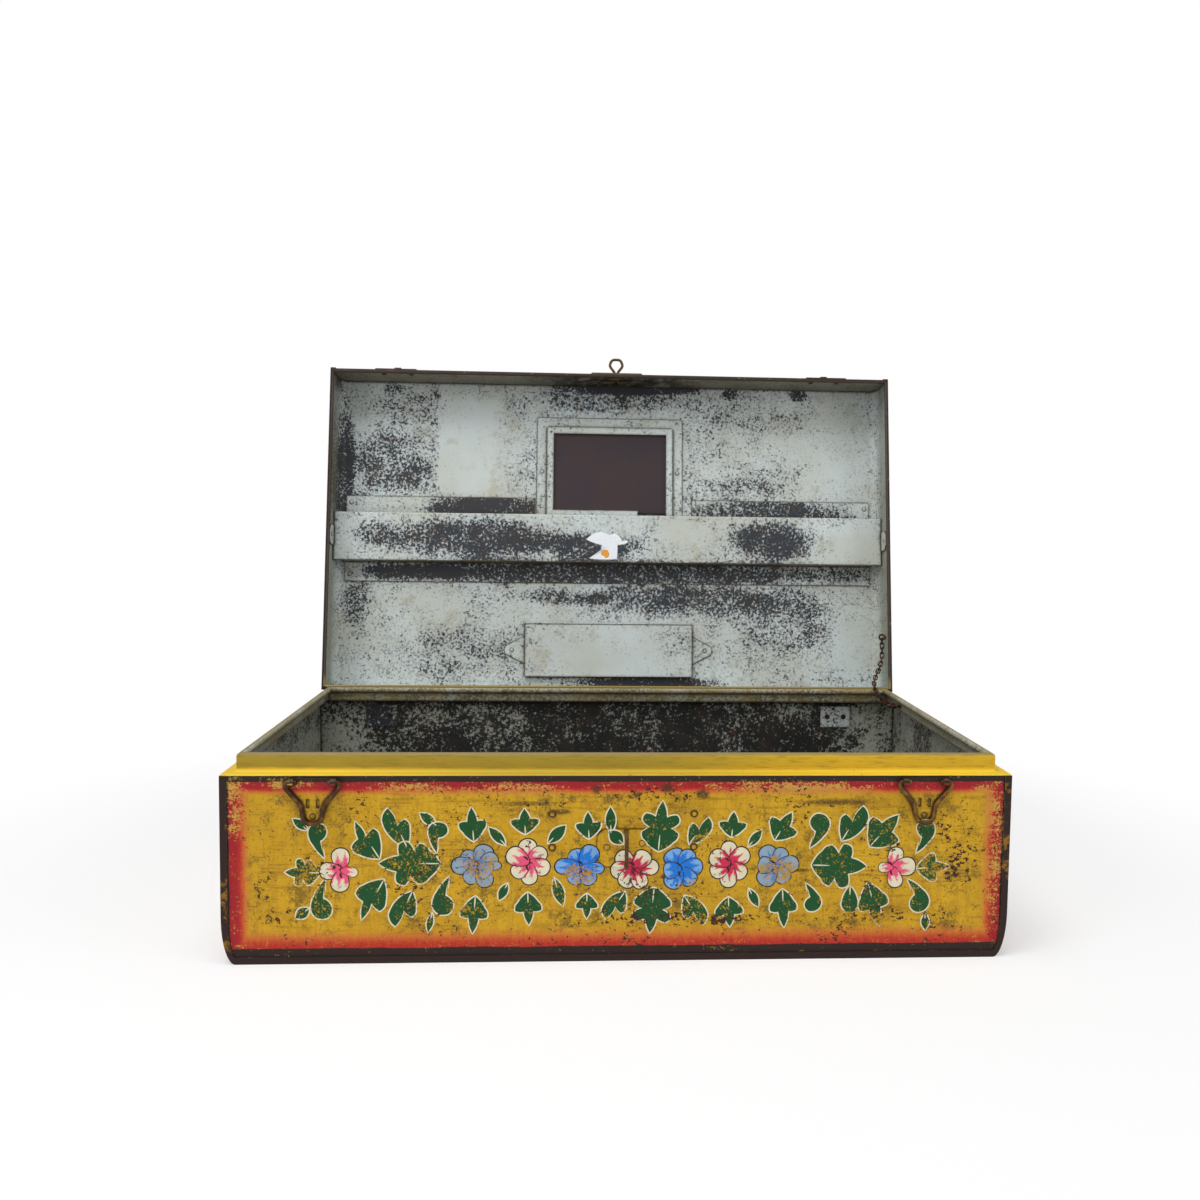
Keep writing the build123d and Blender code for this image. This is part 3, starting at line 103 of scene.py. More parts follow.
OCHRE = paint(192, 146, 14)
OCHRE_DEEP = paint(140, 98, 8)
OCHRE_LIGHT = paint(206, 160, 22)
OLIVE = paint(96, 78, 24)
CRIMSON = paint(150, 14, 32)
VERMILION = paint(182, 42, 26)
ORANGE = paint(198, 108, 42)
SOOT = paint(40, 22, 17)
CHIP_BROWN = paint(54, 30, 16)
HEM_BROWN = paint(58, 42, 30)
EYE_RUST = paint(112, 66, 36)
LEAF_GREEN = paint(4, 76, 32)
CREAM = paint(226, 218, 188)
PETAL_BLUE = paint(14, 118, 214)
PETAL_PINK = paint(234, 84, 122)
PETAL_ROSE = paint(205, 40, 78)
INK = paint(40, 22, 18)
BLUED = paint(34, 37, 46)
WHITE = (1.0, 1.0, 1.0, 1.0)
GLOSS = 0.3  # level of the surface reflection


# ================================================================ materials
class Value:
    """A number, colour or vector inside a material; arithmetic on numbers adds Math nodes."""

    def __init__(self, recipe: "Recipe", socket: bpy.types.NodeSocket) -> None:
        """Keeps the socket and the recipe that it belongs to."""
        self.recipe = recipe
        self.socket = socket

    def _math(self, operation: str, *terms: "Value | float") -> "Value":
        """Adds one Math node on the given terms."""
        return self.recipe.node("ShaderNodeMath", {"operation": operation}, dict(enumerate(terms)))

    def __add__(self, other: "Value | float") -> "Value":
        """Sum."""
        return self._math("ADD", self, other)

    __radd__ = __add__

    def __sub__(self, other: "Value | float") -> "Value":
        """Difference."""
        return self._math("SUBTRACT", self, other)

    def __rsub__(self, other: "Value | float") -> "Value":
        """Difference with the number first."""
        return self._math("SUBTRACT", other, self)

    def __mul__(self, other: "Value | float") -> "Value":
        """Product."""
        return self._math("MULTIPLY", self, other)

    __rmul__ = __mul__

    def __abs__(self) -> "Value":
        """Size without sign."""
        return self._math("ABSOLUTE", self)

    def smaller(self, other: "Value | float") -> "Value":
        """The smaller of two numbers."""
        return self._math("MINIMUM", self, other)

    def larger(self, other: "Value | float") -> "Value":
        """The larger of two numbers."""
        return self._math("MAXIMUM", self, other)

    def rise(self, low: float, high: float, top: float = 1.0) -> "Value":
        """Goes smoothly from 0 at low to top at high; low above high makes it fall.

        Args:
            low: where the result is 0.
            high: where the result is top.
            top: the largest result.

        Returns:
            The smoothed number.
        """
        ends = {1: high, 2: low, 3: top, 4: 0.0} if low > high else {1: low, 2: high, 3: 0.0, 4: top}
        return self.recipe.node("ShaderNodeMapRange", {"interpolation_type": "SMOOTHSTEP"}, {0: self, **ends})


class Recipe:
    """The node tree of one material or world, read in millimetres of the trunk's own frame."""

    def __init__(self, name: str, world: bool = False) -> None:
        """Starts the empty tree of a new material, or of a new world."""
        self.owner = (bpy.data.worlds if world else bpy.data.materials).new(name)
        self.owner.use_nodes = True
        self.tree = self.owner.node_tree
        self.tree.nodes.clear()

    def node(
        self, kind: str, settings: dict[str, Any] | None = None,
        inputs: dict[Any, Any] | None = None, output: Any = 0,
    ) -> Value:
        """Adds any node.

        Args:
            kind: the node's type.
            settings: its properties, set before its sockets.
            inputs: values or links by socket name or number.
            output: the socket that the result reads.

        Returns:
            The result as a Value.
        """
        made = self.tree.nodes.new(kind)
        for name, value in (settings or {}).items():
            setattr(made, name, value)
        for key, value in (inputs or {}).items():
            socket = made.inputs[key]
            if isinstance(value, Value):
                self.tree.links.new(value.socket, socket)
            else:
                socket.default_value = value
        return Value(self, made.outputs[output])

    def vector(self, operation: str, *terms: Any) -> Value:
        """Adds one Vector Math node; its second output holds the result where that is a number."""
        output = 1 if operation in ("DOT_PRODUCT", "LENGTH") else 0
        return self.node("ShaderNodeVectorMath", {"operation": operation}, dict(enumerate(terms)), output)

    @cached_property
    def mm(self) -> Value:
        """Place in the trunk's own frame: the object's own coordinates in millimetres."""
        place = self.node("ShaderNodeTexCoord", output="Object")
        return self.node("ShaderNodeVectorMath", {"operation": "SCALE"}, {0: place, "Scale": 1000.0})

    @cached_property
    def normal(self) -> Value:
        """Direction in which the surface faces."""
        return self.node("ShaderNodeTexCoord", output="Normal")

    @cached_property
    def x(self) -> Value:
        """Distance to the right of the trunk's middle."""
        return self.along(RIGHT)

    @cached_property
    def y(self) -> Value:
        """Distance behind the trunk's middle."""
        return self.along(BACKWARDS)

    @cached_property
    def z(self) -> Value:
        """Height above the floor."""
        return self.along(UP)

    @cached_property
    def lid_up(self) -> Value:
        """Distance up the open lid from its rear edge."""
        return self.along(LID_UP, LID_CORNER)

    @cached_property
    def lid_in(self) -> Value:
        """Distance into the open lid from its mouth."""
        return self.along(LID_INWARD, LID_CORNER)

    def along(self, direction: Sequence[float], start: Sequence[float] = (0.0, 0.0, 0.0)) -> Value:
        """Distance in millimetres from a start point along a unit direction."""
        reach = self.vector("DOT_PRODUCT", self.mm, tuple(direction))
        offset = -sum(a * b for a, b in zip(direction, start))
        return reach + offset if offset else reach

    def noise(
        self, size: float, detail: float = 3.0, roughness: float = 0.55,
        stretch: Sequence[float] = (1.0, 1.0, 1.0), shift: float = 0.0, warp: float = 0.0,
    ) -> Value:
        """Noise with features of about a size in millimetres.

        Args:
            size: feature size.
            detail: layers of finer noise.
            roughness: how strong the finer layers are.
            stretch: squeezes the pattern along each axis.
            shift: moves to another part of the noise.
            warp: how much the pattern is distorted.

        Returns:
            A number around 0.5.
        """
        spot = self.vector("MULTIPLY_ADD", self.mm, tuple(stretch), (shift, shift * 0.7, -shift))
        inputs = {"Vector": spot, "Scale": 1.0 / size, "Detail": detail, "Roughness": roughness}
        return self.node("ShaderNodeTexNoise", {}, {**inputs, "Distortion": warp})

    def mix(self, share: "Value | float", first: "Value | Colour", second: "Value | Colour") -> Value:
        """Colour that goes from first to second as share goes from 0 to 1."""
        return self.node("ShaderNodeMix", {"data_type": "RGBA"}, {0: share, 6: first, 7: second}, 2)

    def coats(self, base: "Value | Colour", *coats: "tuple[Value | float, Value | Colour]") -> Value:
        """Colour with coats laid over a base in turn, each given as its share and its own colour."""
        for share, colour in coats:
            base = self.mix(share, base, colour)
        return base

    def spots(self, across: Value, up: Value, places: Sequence[Spot]) -> Value:
        """Sum of soft oval spots on a face.

        Args:
            across: the face's first coordinate.
            up: the face's second coordinate.
            places: centre, half width, half height and strength of each spot.

        Returns:
            The summed strength.
        """
        flat = self.node("ShaderNodeCombineXYZ", {}, {0: across, 1: up})
        total: Value | None = None
        for x, z, wide, high, strength in places:
            local = self.vector("MULTIPLY_ADD", flat, (1 / wide, 1 / high, 0.0), (-x / wide, -z / high, 0.0))
            spot = self.vector("LENGTH", local).rise(1.0, 0.35, abs(strength))
            spot = spot if strength > 0 else spot * -1.0
            total = spot if total is None else total + spot
        return total

    def facing(self, centre: Sequence[float]) -> Value:
        """1 on walls that face away from a centre in millimetres, 0 on walls that face it."""
        ray = self.vector("SUBTRACT", self.mm, tuple(centre))
        return self.vector("DOT_PRODUCT", self.normal, ray).rise(-0.5, 0.5)

    def faces(self, direction: Sequence[float]) -> Value:
        """How squarely the surface faces a direction, from -1 to 1."""
        return self.vector("DOT_PRODUCT", self.normal, tuple(direction))

    def crevice_dirt_and_shade(self, reach: float) -> Value:
        """1 deep in seams and corners narrower than a reach in millimetres, 0 in the open; masks painted
        shade and dirt.
        """
        sky = self.node("ShaderNodeAmbientOcclusion", {"samples": 6}, {"Distance": reach * MM}, "AO")
        return sky.rise(0.93, 0.55)

    def edge(self, radius: float) -> Value:
        """1 along sharp edges, within a radius in millimetres, 0 on flat faces."""
        rounded = self.node("ShaderNodeBevel", {"samples": 4}, {"Radius": radius * MM})
        true = self.node("ShaderNodeNewGeometry", output="Normal")
        return self.vector("DOT_PRODUCT", rounded, true).rise(0.985, 0.86)

    def pigment(self, output: str) -> Value:
        """Colour or Alpha that a painted mark carries: its pigment, and how thin the paint is."""
        return self.node("ShaderNodeAttribute", {"attribute_name": "pigment"}, output=output)

    def finish(
        self, colour: Value, roughness: "Value | float", metallic: "Value | float",
        relief: Value, depth: float, strength: float,
    ) -> bpy.types.Material:
        """Joins everything to the surface.

        Args:
            colour: base colour.
            roughness: surface roughness.
            metallic: 0 for paint, 1 for bare metal.
            relief: height that bumps the surface.
            depth: the relief's height in metres.
            strength: how strongly the relief shows.

        Returns:
            The finished material.
        """
        bump = self.node("ShaderNodeBump", {}, {"Strength": strength, "Distance": depth, "Height": relief})
        sockets = {"Base Color": colour, "Roughness": roughness, "Metallic": metallic, "Normal": bump}
        return self.close(self.node("ShaderNodeBsdfPrincipled", {}, {**sockets, "Specular IOR Level": GLOSS}))

    def close(self, shader: Value) -> bpy.types.ID:
        """Feeds a shader to the output and returns the finished material or world."""
        kind = "World" if isinstance(self.owner, bpy.types.World) else "Material"
        out = self.tree.nodes.new(f"ShaderNodeOutput{kind}")
        self.tree.links.new(shader.socket, out.inputs["Surface"])
        return self.owner


class Design(Enum):
    """What is painted on the outside of a sheet."""

    BAND = "front band"
    ENDS = "end walls and underside"
    BACK = "rear panel"
    RIM = "collar"
    LID_SHELL = "lid top and ends"
    LID_EDGE = "lid front and rear strips"


class Lining(Enum):
    """How the inside of a sheet has worn."""

    TUB = "tub"
    LID = "lid"
    # painted shade: the lid's front strip is lined with a darkened olive-brown that stands for the shade on
    # its inner face
    SHADE = "olive inside of the lid's strips"
    RIM = "inner side of the collar"


# Spots on a face: centre across and up, half width, half height and strength. First the lid's wear.
LID_WEAR = [
    (-186, 190, 48, 40, 0.16), (-158, 174, 34, 26, 0.06), (-160, 236, 50, 22, 0.09),
    (-184, 252, 12, 6, 0.20), (-8, 246, 80, 18, 0.16), (20, 256, 80, 8, 0.30), (100, 252, 10, 7, 0.24),
    (160, 252, 12, 7, 0.24), (-222, 170, 12, 90, 0.24), (-209, 78, 18, 46, 0.16), (60, 76, 110, 20, 0.19),
    (-40, 77, 60, 9, 0.14), (148, 58, 54, 40, 0.14), (120, 232, 110, 20, 0.05), (100, 168, 80, 16, 0.08),
    (30, 6, 84, 9, 0.30), (-120, 30, 70, 30, 0.10), (-150, 68, 46, 22, -0.06), (205, 36, 26, 28, -0.10),
    (188, 206, 50, 70, -0.07), (0, 130, 260, 170, 0.02),
]
# Where the front has chipped.
BAND_CHIPS = [
    (-204, 44, 15, 14, 0.10), (-196, 28, 18, 10, 0.08), (-176, 58, 16, 18, 0.04), (-45, 92, 22, 5, 0.09),
    (20, 98, 42, 6, 0.08), (40, 24, 60, 6, 0.07), (95, 24, 60, 5, 0.06), (200, 55, 14, 22, 0.08),
    (168, 27, 45, 6, 0.06), (196, 80, 16, 14, 0.05),
]
# Dark dents and scars in the front.
DENTS = [
    (-15.6, 101.3, 4, 3.6, 0.8), (7.6, 98.3, 3, 3, 0.7), (25, 101.9, 5.2, 3.8, 0.9),
    (45.8, 98.3, 5.6, 4.2, 0.9), (-8.6, 95.3, 3.4, 4, 0.6), (-29.5, 95.3, 3, 2.8, 0.6),
    (31.3, 95.3, 3, 3, 0.5), (-36.4, 88.2, 9, 2.2, 0.8), (-58, 93, 26, 2, 0.6), (124, 93.5, 30, 2.4, 0.8),
    (70, 61, 4, 3, 0.3), (104, 53, 10, 1.4, 0.8), (135, 22, 6, 3, 0.6),
]
# Where the front's red border has rubbed through.
BAND_RUBBED = [
    (-190, 106, 24, 6, 0.14), (-118, 100, 36, 7, 0.16), (-62, 99, 44, 9, 0.18), (-221, 94, 12, 26, 0.13),
    (82, 102, 50, 7, 0.15), (120, 99, 42, 8, 0.18), (216, 60, 14, 60, 0.12), (210, 92, 16, 16, 0.14),
]


@dataclass(frozen=True)
class SheetPaint:
    """Gloss paint on sheet iron: folk colours outside, a thin lining inside, both worn."""

    design: Design
    lining: Lining
    centre: Point = (0.0, 0.0, 60.0)

    def material(self, name: str) -> bpy.types.Material:
        """Builds the paint of both sides of the sheet."""
        recipe = Recipe(name)
        outer, outer_rough = self.outside(recipe)
        inner, inner_rough = self.inside(recipe)
        side = recipe.facing(self.centre)
        colour = recipe.mix(side, inner, outer)
        rough = outer_rough * side + inner_rough * (1 - side)
        relief = recipe.noise(3.0, 4.0) * 0.6 + recipe.noise(26.0, 2.0) * 2.0
        return recipe.finish(colour, rough, 0.0, relief, 0.00025, 0.35)

    # ------------------------------------------------ outside
    def outside(self, recipe: Recipe) -> tuple[Value, Value]:
        """Returns colour and roughness of the painted side."""
        if self.design is Design.RIM:
            return self.rim(recipe)
        if self.design is Design.BAND:
            return band_ground(recipe)
        if self.design is Design.BACK:
            return framed(recipe, recipe.x, recipe.z, HALF_WIDTH, TUB_HEIGHT)
        if self.design is Design.ENDS:
            return self.ends(recipe)
        edge_up = LID_DEPTH - recipe.lid_in
        if self.design is Design.LID_EDGE:
            return framed(recipe, recipe.x, edge_up, HALF_WIDTH, LID_DEPTH, 0.35)
        top, rough = framed(recipe, recipe.x, recipe.lid_up, HALF_WIDTH, LID_LENGTH)
        half = LID_LENGTH / 2
        end, _ = framed(recipe, recipe.lid_up - half, edge_up, half, LID_DEPTH, 0.35)
        sideways = abs(recipe.faces(RIGHT)).rise(0.6, 0.8)
        return recipe.mix(sideways, top, end), rough

    def ends(self, recipe: Recipe) -> tuple[Value, Value]:
        """Framed end walls whose folded edges and underside are black, worn to ochre."""
        colour, rough = framed(recipe, recipe.y, recipe.z, HALF_DEPTH, TUB_HEIGHT)
        below = recipe.faces(DOWN).rise(0.6, 0.8)
        seam = (HALF_DEPTH + 0.4 - abs(recipe.y)).rise(1.0, -0.4)
        worn = (recipe.noise(7.0, 4.0, 0.7) * 0.7 + recipe.noise(60.0) * 0.5).rise(0.62, 0.72)
        edge = recipe.mix(worn * (recipe.z.rise(6.0, 12.0)), SOOT, OCHRE_DEEP)
        return recipe.mix(seam.larger(below), colour, edge), rough

    def rim(self, recipe: Recipe) -> tuple[Value, Value]:
        """Yellow collar, browner in the middle and rubbed grey on its crest, with a painted highlight low on
        its foot.
        """
        x, z = recipe.x, recipe.z
        broad = recipe.noise(30.0, 3.0)
        bright = recipe.mix(broad, paint(220, 178, 30), paint(196, 158, 30))
        dull = recipe.mix(broad, paint(166, 142, 40), paint(150, 128, 42))
        smear = recipe.noise(1.6, 4.0, 0.7, (0.10, 1.0, 1.0))
        # painted highlight: bright yellow low on the collar, below about 113 mm, stronger towards the ends
        shoulder_highlight = (z + smear * 1.5).rise(113.6, 112.2)
        crest = (z + recipe.noise(8.0) * 1.2).rise(119.4, 120.9)
        chips = (recipe.noise(3.2, 4.0, 0.7) + recipe.noise(40.0) * 0.25).rise(0.80, 0.86)
        colour = recipe.coats(
            bright,
            ((x + broad * 60.0).rise(150.0, 30.0, 0.9), dull),
            (smear.rise(0.48, 0.66, 0.5), paint(132, 108, 34)),
            # painted highlight on the collar's foot
            (shoulder_highlight * (0.35 + abs(x).rise(60.0, 190.0, 0.5)), paint(232, 196, 50)),
            (crest * 0.85, paint(128, 114, 76)),
            (chips, CHIP_BROWN),
        )
        return colour, 0.38 + recipe.noise(5.0) * 0.25

    # ------------------------------------------------ inside
    def inside(self, recipe: Recipe) -> tuple[Value, Value]:
        """Returns colour and roughness of the lined side."""
        if self.lining is Lining.LID:
            return self.inside_lid(recipe)
        if self.lining is Lining.TUB:
            corner = abs(recipe.x).rise(150.0, 222.0)
            spread = recipe.noise(45.0, 3.0, shift=90.0).rise(0.35, 0.62, 0.14)
            wear = 0.17 + spread - corner * 0.15 + recipe.z.rise(80.0, 40.0, 0.1)
            return lining(recipe, wear, 12.0, paint(14, 15, 19), 0.55)
        if self.lining is Lining.RIM:
            colour, rough = lining(recipe, 0.02 + recipe.y.rise(60.0, 118.0, 0.12), 31.0)
            aged = 0.45 + recipe.noise(30.0).rise(0.35, 0.7, 0.4)
            return recipe.mix(aged, colour, paint(144, 128, 78)), rough
        colour, rough = lining(recipe, recipe.noise(50.0) * 0.1, 5.0)
        # painted shade: olive-brown darkening over most of the strip's lining
        shade = recipe.mix(recipe.noise(18.0, 4.0), paint(116, 104, 76), paint(84, 72, 52))
        stain = recipe.spots(recipe.x, recipe.lid_up, [(5, 250, 90, 40, 1)])
        stain = stain * recipe.noise(9.0, 4.0, 0.7).rise(0.38, 0.56)
        coats = ((0.78, shade), (stain, paint(34, 24, 18)), (hem_rust(recipe), HEM_BROWN))
        return recipe.coats(colour, *coats), rough

    def inside_lid(self, recipe: Recipe) -> tuple[Value, Value]:
        """Lining of the lid: worn in spots, with one clean patch, rust at the top and a brown hem."""
        x, up, inward = recipe.x, recipe.lid_up, recipe.lid_in
        wear = recipe.spots(x, up, LID_WEAR)
        torn = x + recipe.noise(14.0, 5.0, 0.7, shift=33.0) * 16.0
        patch = torn.rise(-138.0, -135.5) * x.rise(-84.0, -104.0)
        patch = patch * up.rise(160.0, 168.0) * up.rise(256.0, 236.0)
        colour, rough = lining(recipe, wear - patch * 0.17, 0.0)
        rust = (inward.rise(36.0, 33.0) * up.rise(240.0, 256.0)) * recipe.noise(14.0).rise(0.42, 0.6)
        hem = recipe.mix(up.rise(14.0, 4.0), HEM_BROWN, paint(138, 120, 54))
        colour = recipe.coats(
            colour,
            # painted shade: the lid's walls, away from its panel, are darkened towards grey-olive
            (inward.rise(34.0, 24.0) * 0.55, paint(120, 122, 104)),
            (rust * 0.8, paint(50, 34, 24)),
            (hem_rust(recipe), hem),
        )
        return colour, rough


def hem_rust(recipe: Recipe) -> Value:
    """Share of brown rust on the rolled hem round the lid's mouth."""
    return (recipe.lid_in + recipe.noise(2.5, 3.0, 0.7) * 1.6).rise(5.2, 3.6, 0.92)


def band_ground(recipe: Recipe) -> tuple[Value, Value]:
    """The front's ground, with its own rubbed places and chips."""
    return framed(recipe, recipe.x, recipe.z, HALF_WIDTH, TUB_HEIGHT, 1.0, BAND_RUBBED, BAND_CHIPS)


def weathered(recipe: Recipe, across: Value, up: Value, chips: Sequence[Spot]) -> Value:
    """Share of the surface where the paint has chipped to brown metal."""
    fine = recipe.noise(2.2, 4.0, 0.72, (0.8, 1.0, 1.0))
    broad = recipe.noise(34.0, 3.0, shift=7.0)
    chipped = fine * 0.80 + broad * 0.35
    if chips:
        chipped = chipped + recipe.spots(across, up, chips)
    return chipped.rise(0.672, 0.702)


def framed(
    recipe: Recipe, across: Value, up: Value, half: float, height: float,
    reach: float = 1.0, rubbed: Sequence[Spot] = (), chips: Sequence[Spot] = (),
) -> tuple[Value, Value]:
    """Ochre face in a red border that fades inwards, with black outer lines and wear.

    Args:
        recipe: the material.
        across: coordinate across the face, 0 in its middle.
        up: coordinate up the face, 0 at its foot.
        half: half the face's width.
        height: the face's height.
        reach: width of the border against the front's own.
        rubbed: spots where the red has rubbed through.
        chips: spots with more chips.

    Returns:
        Colour and roughness.
    """
    waver = recipe.noise(16.0, 3.0) - 0.5
    edge = half - abs(across) + waver * 1.6
    top = height - up + waver * 1.4
    bottom = up + waver * 1.6
    broad = recipe.noise(48.0, 3.0, shift=3.0)
    brush = recipe.noise(1.7, 4.0, 0.7, (1.0, 1.0, 0.14), shift=11.0)
    scrape = recipe.noise(2.0, 4.0, 0.7, (0.07, 0.07, 1.0), shift=15.0)
    speckle = recipe.noise(1.5, 4.0, 0.75, shift=19.0)
    blotch = recipe.noise(11.0, 7.0, 0.68, shift=57.0)
    dirt = (recipe.noise(18.0, 7.0, 0.72, shift=29.0) * 0.75 + speckle * 0.4).rise(0.58, 0.69, 0.75)
    fade = top.rise(13.5 * reach, 6.5 * reach).larger(edge.rise(19.0 * reach, 7.0 * reach))
    fade = fade.larger(bottom.rise(23.0 * reach, 9.0 * reach, 0.78))
    spread = fade + (speckle - 0.5) * 0.4 + (brush - 0.5) * 0.3
    thin = speckle * 0.9 + recipe.noise(3.4, 5.0, 0.78, (0.45, 1.0, 0.9), shift=41.0) * 0.7
    if rubbed:
        thin = thin + recipe.spots(across, up, rubbed)
    black = top.rise(4.5 * reach, 4.1 * reach).larger(edge.rise(5.0 * reach, 4.5 * reach))
    black = black.larger(bottom.rise(9.2 * reach, 8.5 * reach))
    scuffed = (thin + recipe.noise(26.0, shift=50.0) * 0.25).rise(1.06, 1.13, 0.75)
    outer_line = recipe.mix(recipe.noise(22.0), SOOT, paint(38, 27, 22))
    colour = recipe.coats(
        OCHRE_LIGHT,
        (broad.rise(0.3, 0.75), OCHRE),
        (brush.rise(0.48, 0.66, 0.26), OCHRE_DEEP),
        (scrape.rise(0.53, 0.66, 0.55), OCHRE_DEEP),
        (speckle.rise(0.54, 0.66, 0.4), OCHRE_DEEP),
        (blotch.rise(0.50, 0.66, 0.5), paint(148, 108, 18)),
        (blotch.rise(0.46, 0.34, 0.35), paint(214, 168, 34)),
        (dirt, OLIVE),
        (spread.rise(0.02, 0.5, 0.92), ORANGE),
        (spread.rise(0.35, 0.8), VERMILION),
        (spread.rise(0.7, 1.0, 0.85), CRIMSON),
        (thin.rise(0.90, 0.98, 0.9) * fade, paint(196, 158, 66)),
        (weathered(recipe, across, up, chips), CHIP_BROWN),
        (black, recipe.mix(scuffed, outer_line, paint(168, 136, 60))),
    )
    if chips:
        dents = recipe.spots(across, up, DENTS).smaller(0.85) * speckle.rise(0.3, 0.5)
        colour = recipe.mix(dents, colour, paint(62, 44, 18))
    # painted shade and dirt: ambient occlusion darkens the ground to brown in seams and corners round plates
    # and rivets, kept off the black lines
    grime = recipe.crevice_dirt_and_shade(2.2) * (1 - black)
    return recipe.mix(grime * 0.85, colour, paint(66, 42, 14)), 0.42 + speckle * 0.25


def lining(
    recipe: Recipe, wear: Value, shift: float, bare_sheet: Colour = BLUED, yellowed: float = 0.0
) -> tuple[Value, Value]:
    """Thin grey-green paint, speckled through to blue-black sheet.

    Args:
        recipe: the material.
        wear: how much more than usual has worn away.
        shift: moves to another part of the pattern.
        bare_sheet: colour of the sheet under the paint.
        yellowed: how far the paint has aged to olive.

    Returns:
        Colour and roughness.
    """
    broad = recipe.noise(70.0, 3.0, shift=shift)
    patch = recipe.noise(20.0, 9.0, 0.72, shift=shift + 5.0, warp=0.5)
    speck = recipe.noise(2.0, 5.0, 0.74, shift=shift + 9.0)
    tint = recipe.noise(16.0, 4.0, 0.6, shift=shift + 13.0)
    bare = patch * 0.60 + speck * 1.35 + wear
    rust = (recipe.noise(7.0, 5.0, 0.7, shift=shift + 60.0) * 0.8 + speck * 0.3).rise(0.64, 0.70, 0.8)
    colour = recipe.coats(
        paint(204, 213, 212),
        (broad.rise(0.3, 0.7), paint(190, 194, 184)),
        (tint.rise(0.54, 0.72, 0.5), paint(176, 168, 140)),
        ((bare + tint * 0.2).rise(1.02, 1.20, 0.55), paint(142, 148, 152)),
        (yellowed, paint(142, 138, 112)),
        (bare.rise(1.105, 1.14, 0.95), recipe.mix(tint.rise(0.42, 0.62, 0.6), bare_sheet, paint(46, 36, 30))),
        (rust * bare.rise(0.98, 1.12), paint(84, 56, 38)),
        # painted shade and dirt: dark brown, speckled, in the lining's seams and corners from ambient
        # occlusion
        (recipe.crevice_dirt_and_shade(3.0) * (0.6 + speck), paint(48, 38, 28)),
    )
    return colour, 0.34 + speck * 0.3


@dataclass(frozen=True)
class LidFitting:
    """Lining paint on the pockets and frames inside the lid."""

    wear: tuple[Spot, ...]
    shift: float

    def material(self, name: str) -> bpy.types.Material:
        """Builds the fitting's paint."""
        recipe = Recipe(name)
        colour, rough = lining(recipe, recipe.spots(recipe.x, recipe.lid_up, self.wear), self.shift)
        rubbed = recipe.edge(1.8) * recipe.noise(3.0, 4.0, 0.7).rise(0.30, 0.46)
        colour = recipe.coats(
            colour,
            # painted shade: faces of the pockets and frames turned up or down the lid are darkened to
            # brownish olive
            (abs(recipe.faces(LID_UP)).rise(0.5, 0.8) * 0.6, paint(132, 120, 88)),
            (rubbed * 0.95, paint(84, 70, 46)),
            (recipe.lid_in.rise(LID_DEPTH - 0.3, LID_DEPTH), recipe.mix(rubbed, OCHRE, OCHRE_DEEP)),
        )
        return recipe.finish(colour, rough, 0.0, recipe.noise(4.0, 4.0), 0.0002, 0.3)


@dataclass(frozen=True)
class DarkIron:
    """Bare iron fitting with a brown skin, its high spots rubbed brighter."""

    skin: Colour = paint(50, 38, 30)
    rust: Colour = paint(92, 58, 34)
    bright: Colour = paint(128, 112, 92)
    shine: float = 0.35

    def material(self, name: str) -> bpy.types.Material:
        """Builds the iron."""
        recipe = Recipe(name)
        fine = recipe.noise(1.2, 4.0, 0.7)
        patch = recipe.noise(7.0, 4.0, 0.6)
        rubbed = (fine * 0.6 + patch * 0.5).rise(0.62, 0.76)
        coats = ((patch.rise(0.42, 0.66), self.rust), (rubbed * self.shine, self.bright))
        colour = recipe.coats(self.skin, *coats)
        return recipe.finish(colour, 0.62 - rubbed * 0.25, 0.25 + rubbed * 0.4, fine, 0.00015, 0.5)


@dataclass(frozen=True)
class PaintedFitting:
    """Plate or rivet on the front that was painted over with the ground."""

    worn: float = 0.0

    def material(self, name: str) -> bpy.types.Material:
        """Builds the painted fitting."""
        recipe = Recipe(name)
        colour, rough = band_ground(recipe)
        proud = recipe.faces(FORWARDS).rise(0.95, 0.75)
        grime = recipe.noise(2.2, 4.0, 0.7)
        edge = (proud.larger(recipe.edge(0.7)) * 0.7 + grime * 0.4 + self.worn).rise(0.55, 0.8)
        # painted shade and dirt: dark brown from ambient occlusion in the seams round the fitting
        colour = recipe.coats(colour, (edge, paint(78, 54, 20)), (recipe.crevice_dirt_and_shade(2.0), paint(48, 30, 14)))
        return recipe.finish(colour, rough, 0.0, grime, 0.0002, 0.4)


@dataclass(frozen=True)
class DarkPane:
    """Old looking-glass whose silvering has gone brown-black."""

    def material(self, name: str) -> bpy.types.Material:
        """Builds the pane."""
        recipe = Recipe(name)
        speck = recipe.noise(1.4, 2.0, 0.6).rise(0.74, 0.78)
        cloud = (recipe.noise(30.0, 4.0).rise(0.3, 0.7), paint(58, 50, 56))
        colour = recipe.coats(paint(66, 52, 52), cloud, (speck * 0.6, paint(120, 116, 112)))
        scratch = recipe.noise(1.6, 3.0, 0.6, (1.0, 0.08, 0.08))
        return recipe.finish(colour, 0.32 + scratch * 0.2, 0.0, scratch, 0.00005, 0.2)


